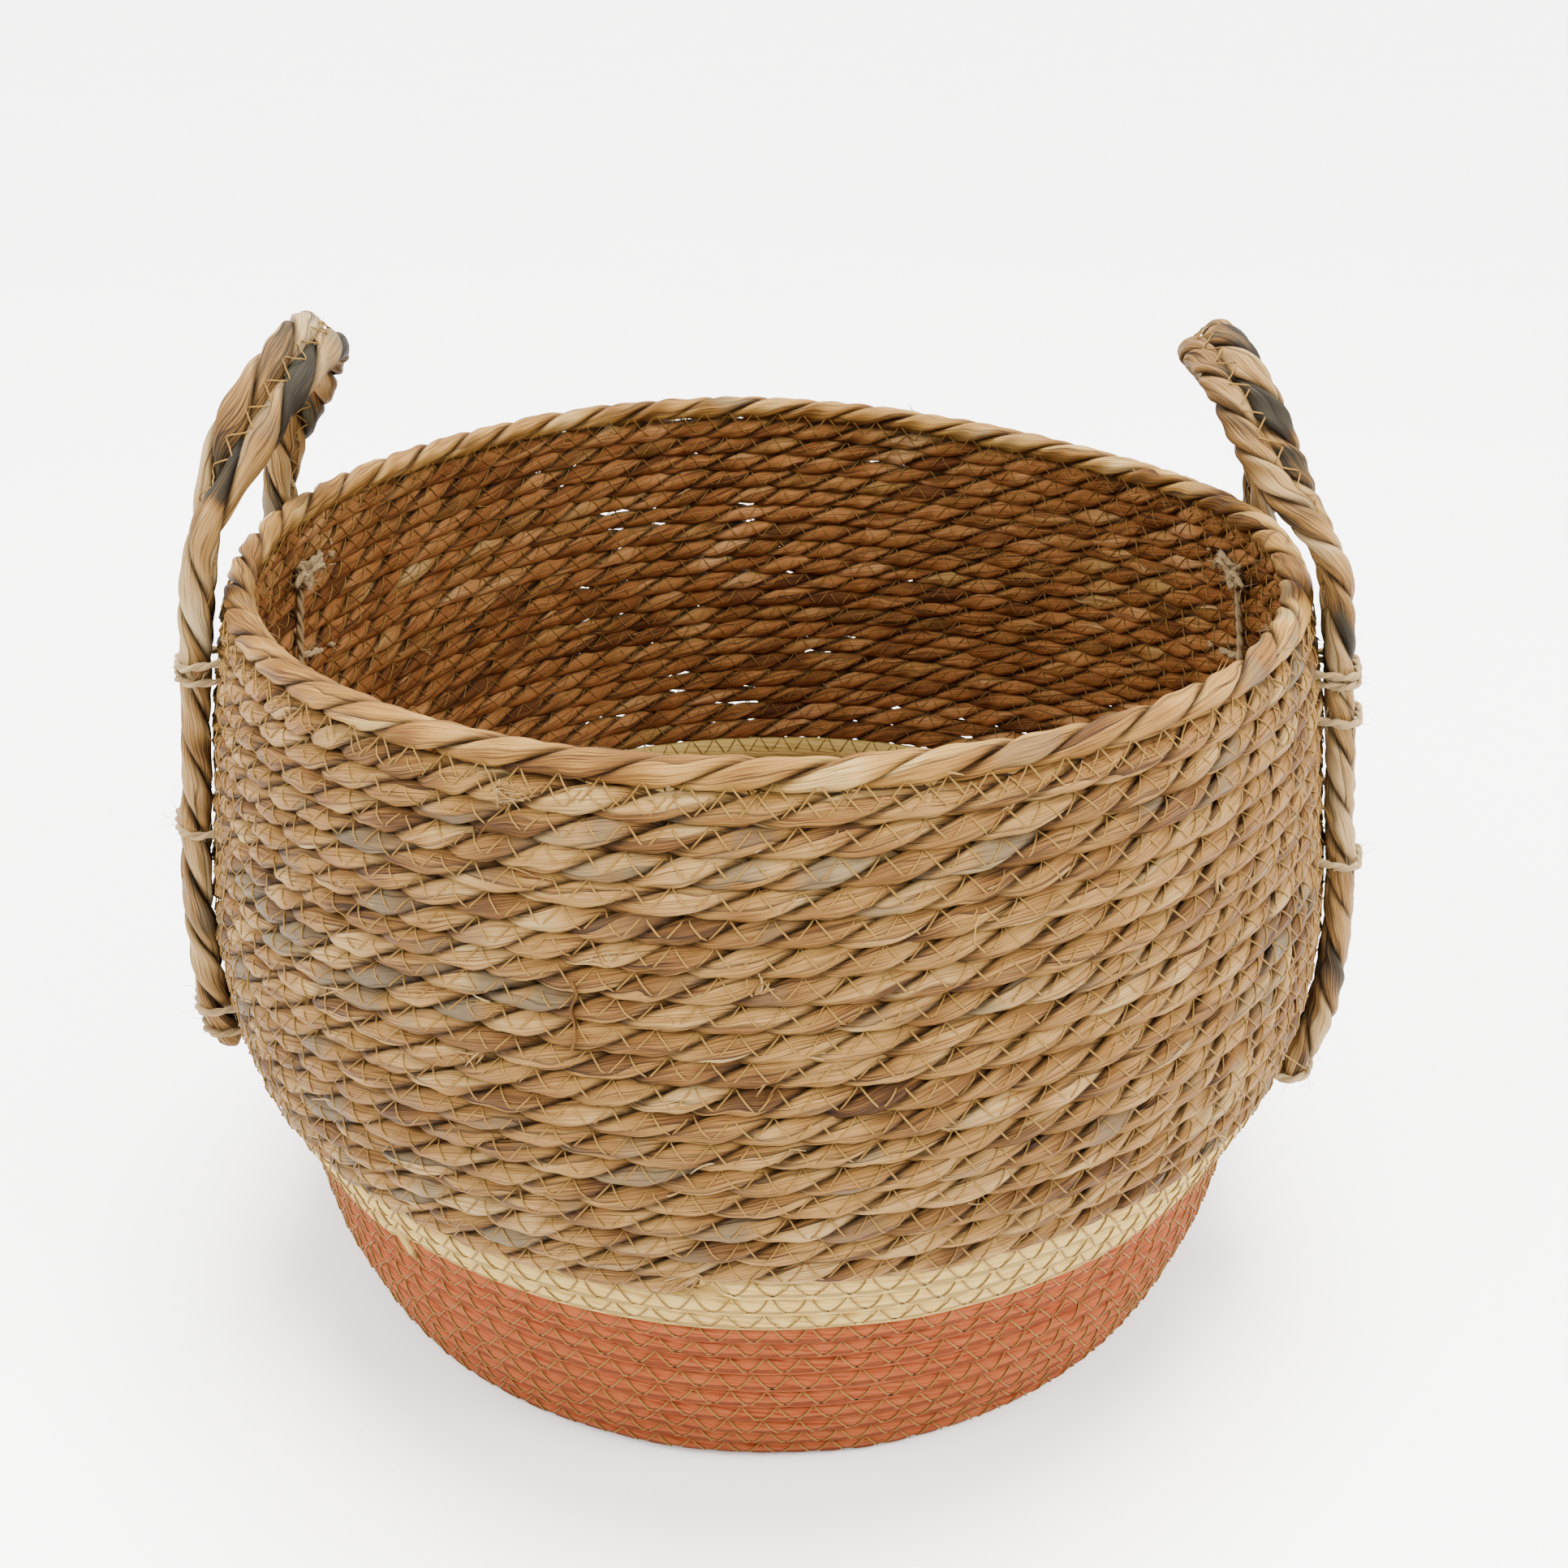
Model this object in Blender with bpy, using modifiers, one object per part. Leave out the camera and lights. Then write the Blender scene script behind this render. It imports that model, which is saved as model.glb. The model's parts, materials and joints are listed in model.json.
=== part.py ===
"""Coiled seagrass storage basket with two rope handles, in metres, +Z up.

The origin is the middle of the underside. The handles are at -X (left) and +X (right), and the
front is -Y. The basket is sewn from four ropes coiled on top of each other. Each handle is a strap
of two ropes: two legs tied to the wall, and a loop above the rim that flexes about a line along Y
through the tops of its legs.
"""

import math

import bpy
from mathutils import Vector

# Driving dimensions (metres, degrees)
RIM_RADIUS = 0.172
HEIGHT = 0.250
# Outside of the wall: (share of the height, share of the rim radius), bottom to top.
WALL_OUTLINE = (
    (0.00, 0.899),
    (0.12, 0.961),
    (0.25, 0.997),
    (0.40, 1.083),
    (0.55, 1.101),
    (0.70, 1.075),
    (0.85, 1.046),
    (1.00, 1.000),
)
CORAL_TOP = 0.399 * RIM_RADIUS
CREAM_TOP = 0.558 * RIM_RADIUS
PAPER_ROPE = 0.0072
SEAGRASS_ROPE = 0.0082
RIM_ROPE = 0.0104
RIM_OVERHANG = 0.001
GAP = 0.0003
TURN_STEPS = 48

# Handle strap: two ropes side by side. SIDES gives each handle's direction along X.
SIDES = {"left": -1, "right": 1}
STRAP_ROPE = 0.0094
STRAP_SPACING = 0.0098
STRAP_CLEARANCE = 0.0008
LEG_BOTTOM = {"left": 0.090, "right": 0.074}
LEG_ANGLE_TOP = 15.5
LEG_ANGLE_BOTTOM = 18.5
LEG_STANDS_OFF = 0.005
BELLY_Z = 0.55 * HEIGHT
HINGE_Z = HEIGHT + 0.004
HINGE_RADIUS = RIM_RADIUS + 0.0078
LEG_TOP_GAP = 0.0005
LEG_LEAN_TOP = 12.0
LOOP_HEIGHT = 0.065
LOOP_LEAN = {"left": (19.0, 38.0), "right": (26.0, 38.0)}
LOOP_SQUARENESS = 2.1
LOOP_ROLL_SHARE = 0.6
LOOP_POINTS = 25
LEG_POINTS = 12

# Jute twine that ties the legs on, by leg: heights of its four turns round the strap
TWINE = 0.0028
TIE_HEIGHTS = {
    "left_front": (0.222, 0.171, 0.1065, 0.0995),
    "left_back": (0.224, 0.187, 0.140, 0.101),
    "right_front": (0.220, 0.206, 0.158, 0.081),
    "right_back": (0.224, 0.187, 0.138, 0.085),
}
TIE_ARC_POINTS = 4
RUN_POINTS = 9
RUN_TOP = 0.224
RUN_BOTTOM = 0.187
RUN_ANGLE = 11.5
KNOT_SCALE = 2.0

HINGE_X = HINGE_RADIUS * math.cos(math.radians(LEG_ANGLE_TOP))
HINGE_Y = HINGE_RADIUS * math.sin(math.radians(LEG_ANGLE_TOP))


def clear_scene():
    for obj in list(bpy.data.objects):
        bpy.data.objects.remove(obj, do_unlink=True)


def new_collection(name):
    collection = bpy.data.collections.new(name)
    bpy.context.scene.collection.children.link(collection)
    return collection


def new_material(name, colour, roughness):
    material = bpy.data.materials.new(name)
    material.use_nodes = True
    shader = material.node_tree.nodes["Principled BSDF"]
    shader.inputs["Base Color"].default_value = (*colour, 1.0)
    shader.inputs["Roughness"].default_value = roughness
    shader.inputs["Metallic"].default_value = 0.0
    return material


def smoothstep(x):
    x = min(max(x, 0.0), 1.0)
    return x * x * (3.0 - 2.0 * x)


def wall_radius(z):
    """Outside radius of the wall at height z, on a smooth curve through WALL_OUTLINE."""
    share = min(max(z / HEIGHT, 0.0), 1.0)
    last = len(WALL_OUTLINE) - 1
    i = max(k for k in range(last) if WALL_OUTLINE[k][0] <= share)

    def slope(k):
        low, high = WALL_OUTLINE[max(k - 1, 0)], WALL_OUTLINE[min(k + 1, last)]
        return (high[1] - low[1]) / (high[0] - low[0])

    (z0, r0), (z1, r1) = WALL_OUTLINE[i], WALL_OUTLINE[i + 1]
    step = z1 - z0
    t = (share - z0) / step
    h00 = 2 * t**3 - 3 * t**2 + 1
    h10 = t**3 - 2 * t**2 + t
    h01 = -2 * t**3 + 3 * t**2
    h11 = t**3 - t**2
    return RIM_RADIUS * (h00 * r0 + h10 * step * slope(i) + h01 * r1 + h11 * step * slope(i + 1))


def turned(name, profile, material, collection, closed):
    """A mesh of the profile's edges, (radius, z) points, turned round Z by a Screw modifier."""
    mesh = bpy.data.meshes.new(name)
    count = len(profile)
    edges = [(i, (i + 1) % count) for i in range(count if closed else count - 1)]
    mesh.from_pydata([(r, 0.0, z) for r, z in profile], edges, [])
    mesh.materials.append(material)
    obj = bpy.data.objects.new(name, mesh)
    collection.objects.link(obj)
    screw = obj.modifiers.new("turn", "SCREW")
    screw.axis = "Z"
    screw.steps = TURN_STEPS
    screw.render_steps = TURN_STEPS
    screw.use_merge_vertices = True
    screw.merge_threshold = 0.00001
    screw.use_smooth_shade = True
    return obj


def wall_ring(name, low, high, thickness, rows, material, collection):
    """One band of the wall: down its outer side, then up its inner side."""
    heights = [high + (low - high) * i / rows for i in range(rows + 1)]
    outer = [(wall_radius(z), z) for z in heights]
    inner = [(wall_radius(z) - thickness, z) for z in reversed(heights)]
    return turned(name, outer + inner, material, collection, closed=True)


def add_floor(material, collection):
    radius = wall_radius(0.0) - PAPER_ROPE - GAP
    profile = [(0.0, PAPER_ROPE), (radius, PAPER_ROPE), (radius, 0.0), (0.0, 0.0)]
    return turned("floor_coil", profile, material, collection, closed=False)


def add_rim(material, collection):
    radius = RIM_ROPE / 2
    centre = (wall_radius(HEIGHT - radius) + RIM_OVERHANG - radius, HEIGHT - radius)
    sides = 8
    profile = []
    for i in range(sides):
        angle = math.pi * (0.5 - 2 * (i + 0.5) / sides)
        profile.append((centre[0] + radius * math.cos(angle), centre[1] + radius * math.sin(angle)))
    return turned("rim_rope", profile, material, collection, closed=True)


def tube(name, points, diameter, material, collection, sides=2, scales=None, parent=None):
    """A round rope along points. scales gives each point's share of the diameter."""
    curve = bpy.data.curves.new(name, "CURVE")
    curve.dimensions = "3D"
    curve.bevel_depth = diameter / 2
    curve.bevel_resolution = sides
    curve.use_fill_caps = True
    curve.materials.append(material)
    spline = curve.splines.new("POLY")
    spline.points.add(len(points) - 1)
    for i, point in enumerate(points):
        spline.points[i].co = (*point, 1.0)
        spline.points[i].radius = scales[i] if scales else 1.0
    spline.use_smooth = True
    obj = bpy.data.objects.new(name, curve)
    collection.objects.link(obj)
    if parent:
        obj.parent = parent
    return obj


def leg_frame(handle, end, z):
    """Centre of a strap leg at height z, and the direction across the strap to the handle's middle.

    end is -1 for the front leg and +1 for the back leg.
    """
    side, bottom = SIDES[handle], LEG_BOTTOM[handle]
    up = (z - bottom) / (HINGE_Z - bottom)
    angle = math.radians(LEG_ANGLE_BOTTOM + (LEG_ANGLE_TOP - LEG_ANGLE_BOTTOM) * up)
    hang = smoothstep((BELLY_Z - z) / (BELLY_Z - bottom))
    square = smoothstep((z - 0.85 * HEIGHT) / (HINGE_Z - 0.85 * HEIGHT))
    follow = wall_radius(z) + STRAP_ROPE / 2 + STRAP_CLEARANCE + LEG_STANDS_OFF * hang
    above = max(z - HEIGHT, 0.0) * math.tan(math.radians(LEG_LEAN_TOP))
    radius = follow + (HINGE_RADIUS - RIM_RADIUS - STRAP_ROPE / 2 - STRAP_CLEARANCE) * square - above
    centre = Vector((side * radius * math.cos(angle), end * radius * math.sin(angle), z))
    turn = angle * (1.0 - square)
    across = Vector((side * math.sin(turn), -end * math.cos(turn), 0.0))
    return centre, across


def leg_points(handle, end, shift):
    """Centre line of one rope of a leg, bottom to just under the hinge line."""
    bottom, top = LEG_BOTTOM[handle], HINGE_Z - (STRAP_ROPE / 2 + LEG_TOP_GAP)
    points = []
    for i in range(LEG_POINTS):
        z = bottom + (top - bottom) * i / (LEG_POINTS - 1)
        centre, across = leg_frame(handle, end, z)
        points.append(centre + across * shift)
    return points


def loop_station(handle, y, h):
    """Point of the leaning loop surface, y along the hinge line and h up the surface."""
    side = SIDES[handle]
    start, finish = (math.radians(lean) for lean in LOOP_LEAN[handle])
    bend = (finish - start) / LOOP_HEIGHT
    lean = start + bend * h
    inward = (math.cos(start) - math.cos(lean)) / bend
    rise = (math.sin(lean) - math.sin(start)) / bend
    point = Vector((-side * inward, y, rise))
    outward = Vector((side * math.cos(lean), 0.0, math.sin(lean)))
    upward = Vector((-side * math.sin(lean), 0.0, math.cos(lean)))
    return point, outward, upward


def loop_outline():
    """(y, h) points of the loop's centre line, evenly spaced, front to back."""
    power = 2.0 / LOOP_SQUARENESS
    dense = []
    for i in range(401):
        angle = math.pi * i / 400
        c, s = math.cos(angle), math.sin(angle)
        dense.append((-HINGE_Y * math.copysign(abs(c) ** power, c), LOOP_HEIGHT * abs(s) ** power))
    lengths = [0.0]
    for (y0, h0), (y1, h1) in zip(dense, dense[1:]):
        lengths.append(lengths[-1] + math.hypot(y1 - y0, h1 - h0))
    outline = []
    k = 0
    for i in range(LOOP_POINTS):
        wanted = lengths[-1] * i / (LOOP_POINTS - 1)
        while k < len(lengths) - 2 and lengths[k + 1] < wanted:
            k += 1
        t = (wanted - lengths[k]) / (lengths[k + 1] - lengths[k])
        (y0, h0), (y1, h1) = dense[k], dense[k + 1]
        outline.append((y0 + (y1 - y0) * t, h0 + (h1 - h0) * t))
    return outline


def loop_points(handle, shift):
    """Centre line of one rope of a loop, from the hinge. The strap rolls a quarter turn as it rises."""
    outline = loop_outline()
    last = len(outline) - 1
    points = []
    for i, (y, h) in enumerate(outline):
        (ya, ha), (yb, hb) = outline[max(i - 1, 0)], outline[min(i + 1, last)]
        size = math.hypot(yb - ya, hb - ha)
        dy, dh = (yb - ya) / size, (hb - ha) / size
        if i in (0, last):
            dy, dh = 0.0, math.copysign(1.0, dh)
        point, outward, upward = loop_station(handle, y, h)
        away = Vector((0.0, -dh, 0.0)) + upward * dy
        from_leg = 1.0 - abs(2.0 * i / last - 1.0)
        roll = math.pi / 2 * smoothstep(from_leg / LOOP_ROLL_SHARE)
        across = outward * math.sin(roll) - away * math.cos(roll)
        points.append(point + across * shift)
    return points


def with_round_ends(points, radius):
    """Points and scales of a tube whose ends are half balls centred on its first and last point."""
    depths = (0.995, 0.92, 0.70, 0.38)
    start = (points[0] - points[1]).normalized()
    end = (points[-1] - points[-2]).normalized()
    first = [points[0] + start * (radius * d) for d in depths]
    final = [points[-1] + end * (radius * d) for d in reversed(depths)]
    round_off = [math.sqrt(1.0 - d * d) for d in depths]
    scales = round_off + [1.0] * len(points) + list(reversed(round_off))
    return first + points + final, scales


def tie_points(handle, end, z):
    """One turn of twine round the strap, from the wall on one side to the wall on the other."""
    centre, across = leg_frame(handle, end, z)
    out = Vector((centre.x, centre.y, 0.0))
    out = (out - across * out.dot(across)).normalized()
    reach = STRAP_ROPE / 2 + TWINE / 2 + GAP
    half = STRAP_SPACING / 2
    ends = []
    for sign in (-1, 1):
        foot = centre + across * (sign * (half + reach))
        wall = wall_radius(z) + GAP + 0.0003
        depth = math.hypot(foot.x, foot.y) - wall
        ends.append(foot - out * depth)
    path = [ends[0]]
    for sign, start in ((-1, math.pi), (1, math.pi / 2)):
        for i in range(TIE_ARC_POINTS):
            angle = start - math.pi / 2 * i / (TIE_ARC_POINTS - 1)
            offset = across * (sign * half + reach * math.cos(angle)) + out * (reach * math.sin(angle))
            path.append(centre + offset)
    path.append(ends[1])
    return path


def run_points(handle, end):
    """The twine's run on the inside of the wall, with its knot at the top."""
    angle = math.radians(RUN_ANGLE)
    points, scales = [], []
    for i in range(RUN_POINTS):
        z = RUN_TOP + (RUN_BOTTOM - RUN_TOP) * i / (RUN_POINTS - 1)
        scale = KNOT_SCALE if i in (1, 2) else 1.0
        radius = wall_radius(z) - SEAGRASS_ROPE - 2 * GAP - scale * TWINE / 2
        points.append(Vector((SIDES[handle] * radius * math.cos(angle), end * radius * math.sin(angle), z)))
        scales.append(scale)
    return points, scales


def add_handle(name, strap, twine, collection):
    side = SIDES[name]
    hinge = bpy.data.objects.new(name + "_handle_hinge", None)
    hinge.location = (side * HINGE_X, 0.0, HINGE_Z)
    hinge.empty_display_size = 0.02
    collection.objects.link(hinge)
    ropes = ((1, STRAP_SPACING / 2), (2, -STRAP_SPACING / 2))
    for number, shift in ropes:
        points, scales = with_round_ends(loop_points(name, shift), STRAP_ROPE / 2)
        label = f"{name}_loop_rope_{number}"
        tube(label, points, STRAP_ROPE, strap, collection, scales=scales, parent=hinge)
    for leg, end in (("front", -1), ("back", 1)):
        for number, shift in ropes:
            label = f"{name}_{leg}_leg_rope_{number}"
            tube(label, leg_points(name, end, shift), STRAP_ROPE, strap, collection)
        for number, z in enumerate(TIE_HEIGHTS[f"{name}_{leg}"], start=1):
            label = f"{name}_{leg}_tie_{number}"
            tube(label, tie_points(name, end, z), TWINE, twine, collection, sides=1)
        points, scales = run_points(name, end)
        tube(f"{name}_{leg}_tie_run", points, TWINE, twine, collection, sides=1, scales=scales)


def main():
    clear_scene()
    collection = new_collection("seagrass_storage_basket")
    coral = new_material("coral_paper_rope", (0.66, 0.21, 0.10), 0.75)
    cream = new_material("cream_paper_rope", (0.80, 0.70, 0.50), 0.70)
    seagrass = new_material("seagrass_rope", (0.52, 0.34, 0.16), 0.60)
    rim = new_material("rim_seagrass_rope", (0.70, 0.49, 0.26), 0.55)
    strap = new_material("handle_rope", (0.58, 0.39, 0.20), 0.55)
    twine = new_material("jute_twine", (0.60, 0.44, 0.25), 0.90)

    add_floor(coral, collection)
    wall_ring("coral_wall_coil", 0.0, CORAL_TOP, PAPER_ROPE, 6, coral, collection)
    wall_ring("cream_wall_coil", CORAL_TOP + GAP, CREAM_TOP, PAPER_ROPE, 2, cream, collection)
    seagrass_top = HEIGHT - RIM_ROPE - GAP
    wall_ring("seagrass_wall_coil", CREAM_TOP + GAP, seagrass_top, SEAGRASS_ROPE, 8, seagrass, collection)
    add_rim(rim, collection)
    for name in SIDES:
        add_handle(name, strap, twine, collection)


main()
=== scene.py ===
# Looks of the coiled seagrass basket: every rope, thread and tie as a mesh of its own.
#
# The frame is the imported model, in metres, +Z up, with the origin in the middle of the underside. The
# coil runs clockwise seen from above, from the middle of the floor to the rim, in one helix that
# changes rope at the two colour joints.

import json
import math

import bpy
import numpy as np
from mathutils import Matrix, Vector
from mathutils.bvhtree import BVHTree


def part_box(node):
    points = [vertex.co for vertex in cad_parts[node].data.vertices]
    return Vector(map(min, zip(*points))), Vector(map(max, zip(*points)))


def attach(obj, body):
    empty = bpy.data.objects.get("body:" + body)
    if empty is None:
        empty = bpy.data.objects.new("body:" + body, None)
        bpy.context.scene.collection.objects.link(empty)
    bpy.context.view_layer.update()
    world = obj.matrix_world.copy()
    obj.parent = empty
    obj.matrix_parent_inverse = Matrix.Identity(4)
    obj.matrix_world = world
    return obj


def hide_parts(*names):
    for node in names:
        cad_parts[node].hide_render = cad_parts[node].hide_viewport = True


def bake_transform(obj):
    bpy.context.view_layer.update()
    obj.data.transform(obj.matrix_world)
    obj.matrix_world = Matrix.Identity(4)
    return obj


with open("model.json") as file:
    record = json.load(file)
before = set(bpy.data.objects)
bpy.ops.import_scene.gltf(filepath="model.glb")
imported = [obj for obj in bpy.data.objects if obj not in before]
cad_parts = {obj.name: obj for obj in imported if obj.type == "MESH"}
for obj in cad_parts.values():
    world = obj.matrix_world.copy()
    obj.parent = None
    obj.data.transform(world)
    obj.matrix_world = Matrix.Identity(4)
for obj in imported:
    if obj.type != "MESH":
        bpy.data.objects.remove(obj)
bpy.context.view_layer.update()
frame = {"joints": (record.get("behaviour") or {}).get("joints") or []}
SEED = 7

# The wall's outline, as the CAD has it: (share of the height, share of the rim radius)
RIM_RADIUS = 0.172
HEIGHT = 0.250
FLOOR_LIFT = 0.0010  # keeps the floor's lumps and stitches above the surface it stands on
WALL_OUTLINE = (
    (0.00, 0.899),
    (0.12, 0.961),
    (0.25, 0.997),
    (0.40, 1.083),
    (0.55, 1.101),
    (0.70, 1.075),
    (0.85, 1.046),
    (1.00, 1.000),
)
PAPER_ROPE = 0.0072
SEAGRASS_ROPE = 0.0082
SEAGRASS_SPREADS_TO = 0.0093  # the soft seagrass rope's width across, pressed against its neighbours

# The helix: turns are counted from the start of the cream rope, negative below it
CREAM_START_AZIMUTH = math.radians(-131.8)
CREAM_TURNS = 2.9
CORAL_PITCH = 0.0077
SEAGRASS_PITCH = 0.0081
LAST_ROW_AZIMUTH = math.radians(-17.0)
CORAL_BELOW_BOUNDARY = 0.0028
CREAM_BELOW_BOUNDARY = 0.0038
CENTRE_RADIUS = 0.0004  # where the rope starts, in the middle of the floor
FLOOR_ENDS_BEFORE_CORNER = 0.425  # in turns; the wall's rope starts a little earlier, under it
WALL_STARTS_BEFORE_CORNER = 0.45
EVEN_OUT_LENGTH = 0.100
LAST_ROW_TAPER = 0.05
LOOSE_AZIMUTH = math.radians(92.0)  # the middle of the stretch of wall with gaps between its rows
LOOSE_SPREAD = math.radians(48.0)

# The soft basket isn't quite round or level: its rim's rises and dips, as (azimuth, spread, height)
OVAL = 1.016
SETTLE_FROM = 0.12
RISE_AT_BACK_LEFT = (math.radians(104), math.radians(35), 0.0046)
DIP_AT_BACK_RIGHT = (math.radians(42), math.radians(28), 0.0032)
DIP_IN_FRONT = 0.0030
RIM_SINKS = 0.0009

# Rope make-up
SEAGRASS_LAY = 0.036
RIM_LAY = 0.044
STRAP_LAY = {"left": 0.042, "right": 0.035}
STRAP_SMOOTHING = 24
YARN_TURN = 0.95
LEAF_RADIUS = 0.0036
LEAVES_PER_STRAND = 3
STRAND_THICKNESS = 0.32  # of the rope's diameter
SEAGRASS_STEP = 0.0026
PAPER_STEPS_PER_STITCH = 4
PAPER_SQUARENESS = 2.9
PAPER_ROW_FILL = 0.505  # half a row's height, as a share of the pitch: the rows just overlap
PAPER_END_TAPER = 0.012
PAPER_TWIST = 0.08
PAPER_SLANT = 0.12  # each paper row leans out at its lower edge, over the row below
RIM_STEP = 0.002
STRAP_STEP = 0.002

# Stitching
STITCH_PERIOD = 0.0105
STITCH_POINTS = 8
STITCH_TOP = 0.56
STITCH_BOTTOM = -0.24
NEEDLE_HOLE_ANGLE = math.radians(-32)
NEEDLE_HOLE_DEPTH = 0.0007
THREAD_RADIUS = 0.00027
THREAD_LIFT = 0.00036
STRAP_STITCH_PERIOD = 0.0095
STRAP_STITCH_HALF_WIDTH = 0.0031

# Handles, as the CAD has them
SIDES = {"left": -1, "right": 1}
STRAP_ROPE = 0.0094
STRAP_SPACING = 0.0098
STRAP_NARROWS = {"left": 0.97, "right": 0.90}
DARK_LEAF = {"left": 0.75, "right": 0.95}
STRAP_CLEARANCE = 0.0008
LEG_BOTTOM = {"left": 0.090, "right": 0.074}
LEG_ANGLE_TOP = 15.5
LEG_ANGLE_BOTTOM = 18.5
LEG_STANDS_OFF = {"left": 0.0012, "right": 0.0030}
BELLY_Z = 0.55 * HEIGHT
HINGE_Z = HEIGHT + 0.004
HINGE_RADIUS = RIM_RADIUS + 0.0078
HINGE_Y = HINGE_RADIUS * math.sin(math.radians(LEG_ANGLE_TOP))
LEG_LEAN_TOP = 12.0
LOOP_HEIGHT = 0.065
LOOP_LEAN = {"left": (19.0, 38.0), "right": (26.0, 38.0)}
LOOP_TWIST = {"left": 0.0, "right": 0.006}
LOOP_SQUARENESS = 2.1
LOOP_ROLL_SHARE = 0.6
LOOP_POINTS = 25
LEG_POINTS = 14
HINGE_SOFTNESS = 0.016
STRAP_END_TAPER = 0.006
STRAP_SPREADS_TO = STRAP_ROPE * 1.06

# Jute ties
TWINE = 0.0028
TIE_HEIGHTS = {
    "left_front": (0.222, 0.171, 0.1065, 0.0995),
    "left_back": (0.224, 0.187, 0.140, 0.101),
    "right_front": (0.220, 0.206, 0.158, 0.081),
    "right_back": (0.224, 0.187, 0.138, 0.085),
}
RUN_TOP = 0.224
RUN_BOTTOM = 0.187
RUN_ANGLE = 11.5

# Loose ends. A tuft is (azimuth in degrees, height, length, fibres, heading in degrees)
LEAF_FRAYS = 260
TUFTS = (
    (-95.5, 0.0985, 0.009, 16, -160),
    (-112.1, 0.2330, 0.007, 22, 20),
    (-109.8, 0.2320, 0.006, 18, 160),
    (-90.7, 0.1863, 0.007, 10, 60),
    (-112.6, 0.1753, 0.006, 14, 200),
    (-102.1, 0.1926, 0.006, 10, 120),
    (-113.3, 0.1609, 0.006, 14, 240),
    (-59.1, 0.1583, 0.006, 12, 60),
    (-58.6, 0.1418, 0.006, 16, 230),
    (-47.5, 0.1944, 0.006, 16, 260),
    (-44.9, 0.1040, 0.008, 3, 0),
    (-171.0, 0.1010, 0.010, 5, -60),
    (70.0, 0.2440, 0.008, 5, 0),
)
LEAF_STRIP_THICKNESS = 0.0007
LEAF_STRIPS = ((-105.0, 0.187, 0.168, 0.0022),)
THREAD_ENDS = (
    (-128.0, 0.150, 0.012),
    (-72.0, 0.205, 0.010),
    (-35.0, 0.120, 0.012),
    (-150.0, 0.190, 0.010),
    (-20.0, 0.185, 0.012),
    (75.0, 0.160, 0.010),
)

# Colour and light
INNER_BOUNCE_TINT = (1.10, 0.85, 0.86)  # painted warm bounce light: the leaf is painted redder and darker on the inside of the wall
INNER_BOUNCE_TINT_STRENGTH = 1.2
PIGMENT_GAIN = 0.340
PIGMENT_POWER = 1.36
FLOOR_SIZE = 60.0
CAMERA_PLACE = (0.00499, -0.55694, 0.42398)
CAMERA_TILT = 64.3
CAMERA_LENS = 40.3
SENSOR = 36.0
SKY_LOW = 2.1
SKY_HIGH = 3.0
SUN_STRENGTH = 15.5
SUN_ANGLE = math.radians(32.0)
SUN_TILT = (math.radians(-9.0), math.radians(3.0), 0.0)
LAMPS = (
    ("key", (1.5, -0.9, 1.5), 0.9, 82.0, (1.0, 0.96, 0.91)),
    ("fill", (-1.5, -0.9, 1.6), 1.2, 66.0, (1.0, 0.97, 0.94)),
)


# ---------------------------------------------------------------- numbers


def smoothstep(x):
    x = np.clip(x, 0.0, 1.0)
    return x * x * (3.0 - 2.0 * x)


def unit(vectors):
    return vectors / np.maximum(np.linalg.norm(vectors, axis=-1, keepdims=True), 1e-12)


def drift(rng, distance, scale, closed=False):
    """Smooth random values along distance, with about unit spread, that forget themselves over scale."""
    length = distance[-1] - distance[0]
    count = max(int(round(length / scale)), 3)
    knots = rng.normal(size=count + 3)
    if closed:
        knots[count:] = knots[: 3]
    x = (distance - distance[0]) / length * count
    i = np.minimum(x.astype(int), count)
    t = smoothstep(x - i)
    return knots[i] * (1 - t) + knots[np.minimum(i + 1, count + 2)] * t


def wrap(angle):
    return (angle + math.pi) % (2 * math.pi) - math.pi


def lengths_along(points):
    """How far each point is from the first one, along the line through them all."""
    return np.concatenate([[0], np.cumsum(np.linalg.norm(np.diff(points, axis=0), axis=1))])


def tangents(path):
    return unit(np.gradient(path, axis=0))


def through(points, step):
    """Rows every step along a smooth curve through the given ones, and how far along each is.

    The first three columns of a row are its place, and any others are carried along with it.
    """
    points = np.asarray(points, float)
    ends = (2 * points[0] - points[1], 2 * points[-1] - points[-2])
    p = np.vstack([ends[0], points, ends[1]])
    t = np.linspace(0, 1, 12, endpoint=False)[:, None]
    dense = []
    for a, b, c, d in zip(p, p[1:], p[2:], p[3:]):
        dense.append(0.5 * (2 * b + (c - a) * t + (2 * a - 5 * b + 4 * c - d) * t**2
                            + (3 * b - a - 3 * c + d) * t**3))
    dense = np.vstack([*dense, points[-1:]])
    along = lengths_along(dense[:, :3])
    count = max(int(round(along[-1] / step)), 2)
    wanted = np.linspace(0, along[-1], count + 1)
    return np.stack([np.interp(wanted, along, column) for column in dense.T], axis=1), wanted


# ---------------------------------------------------------------- meshes


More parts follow.
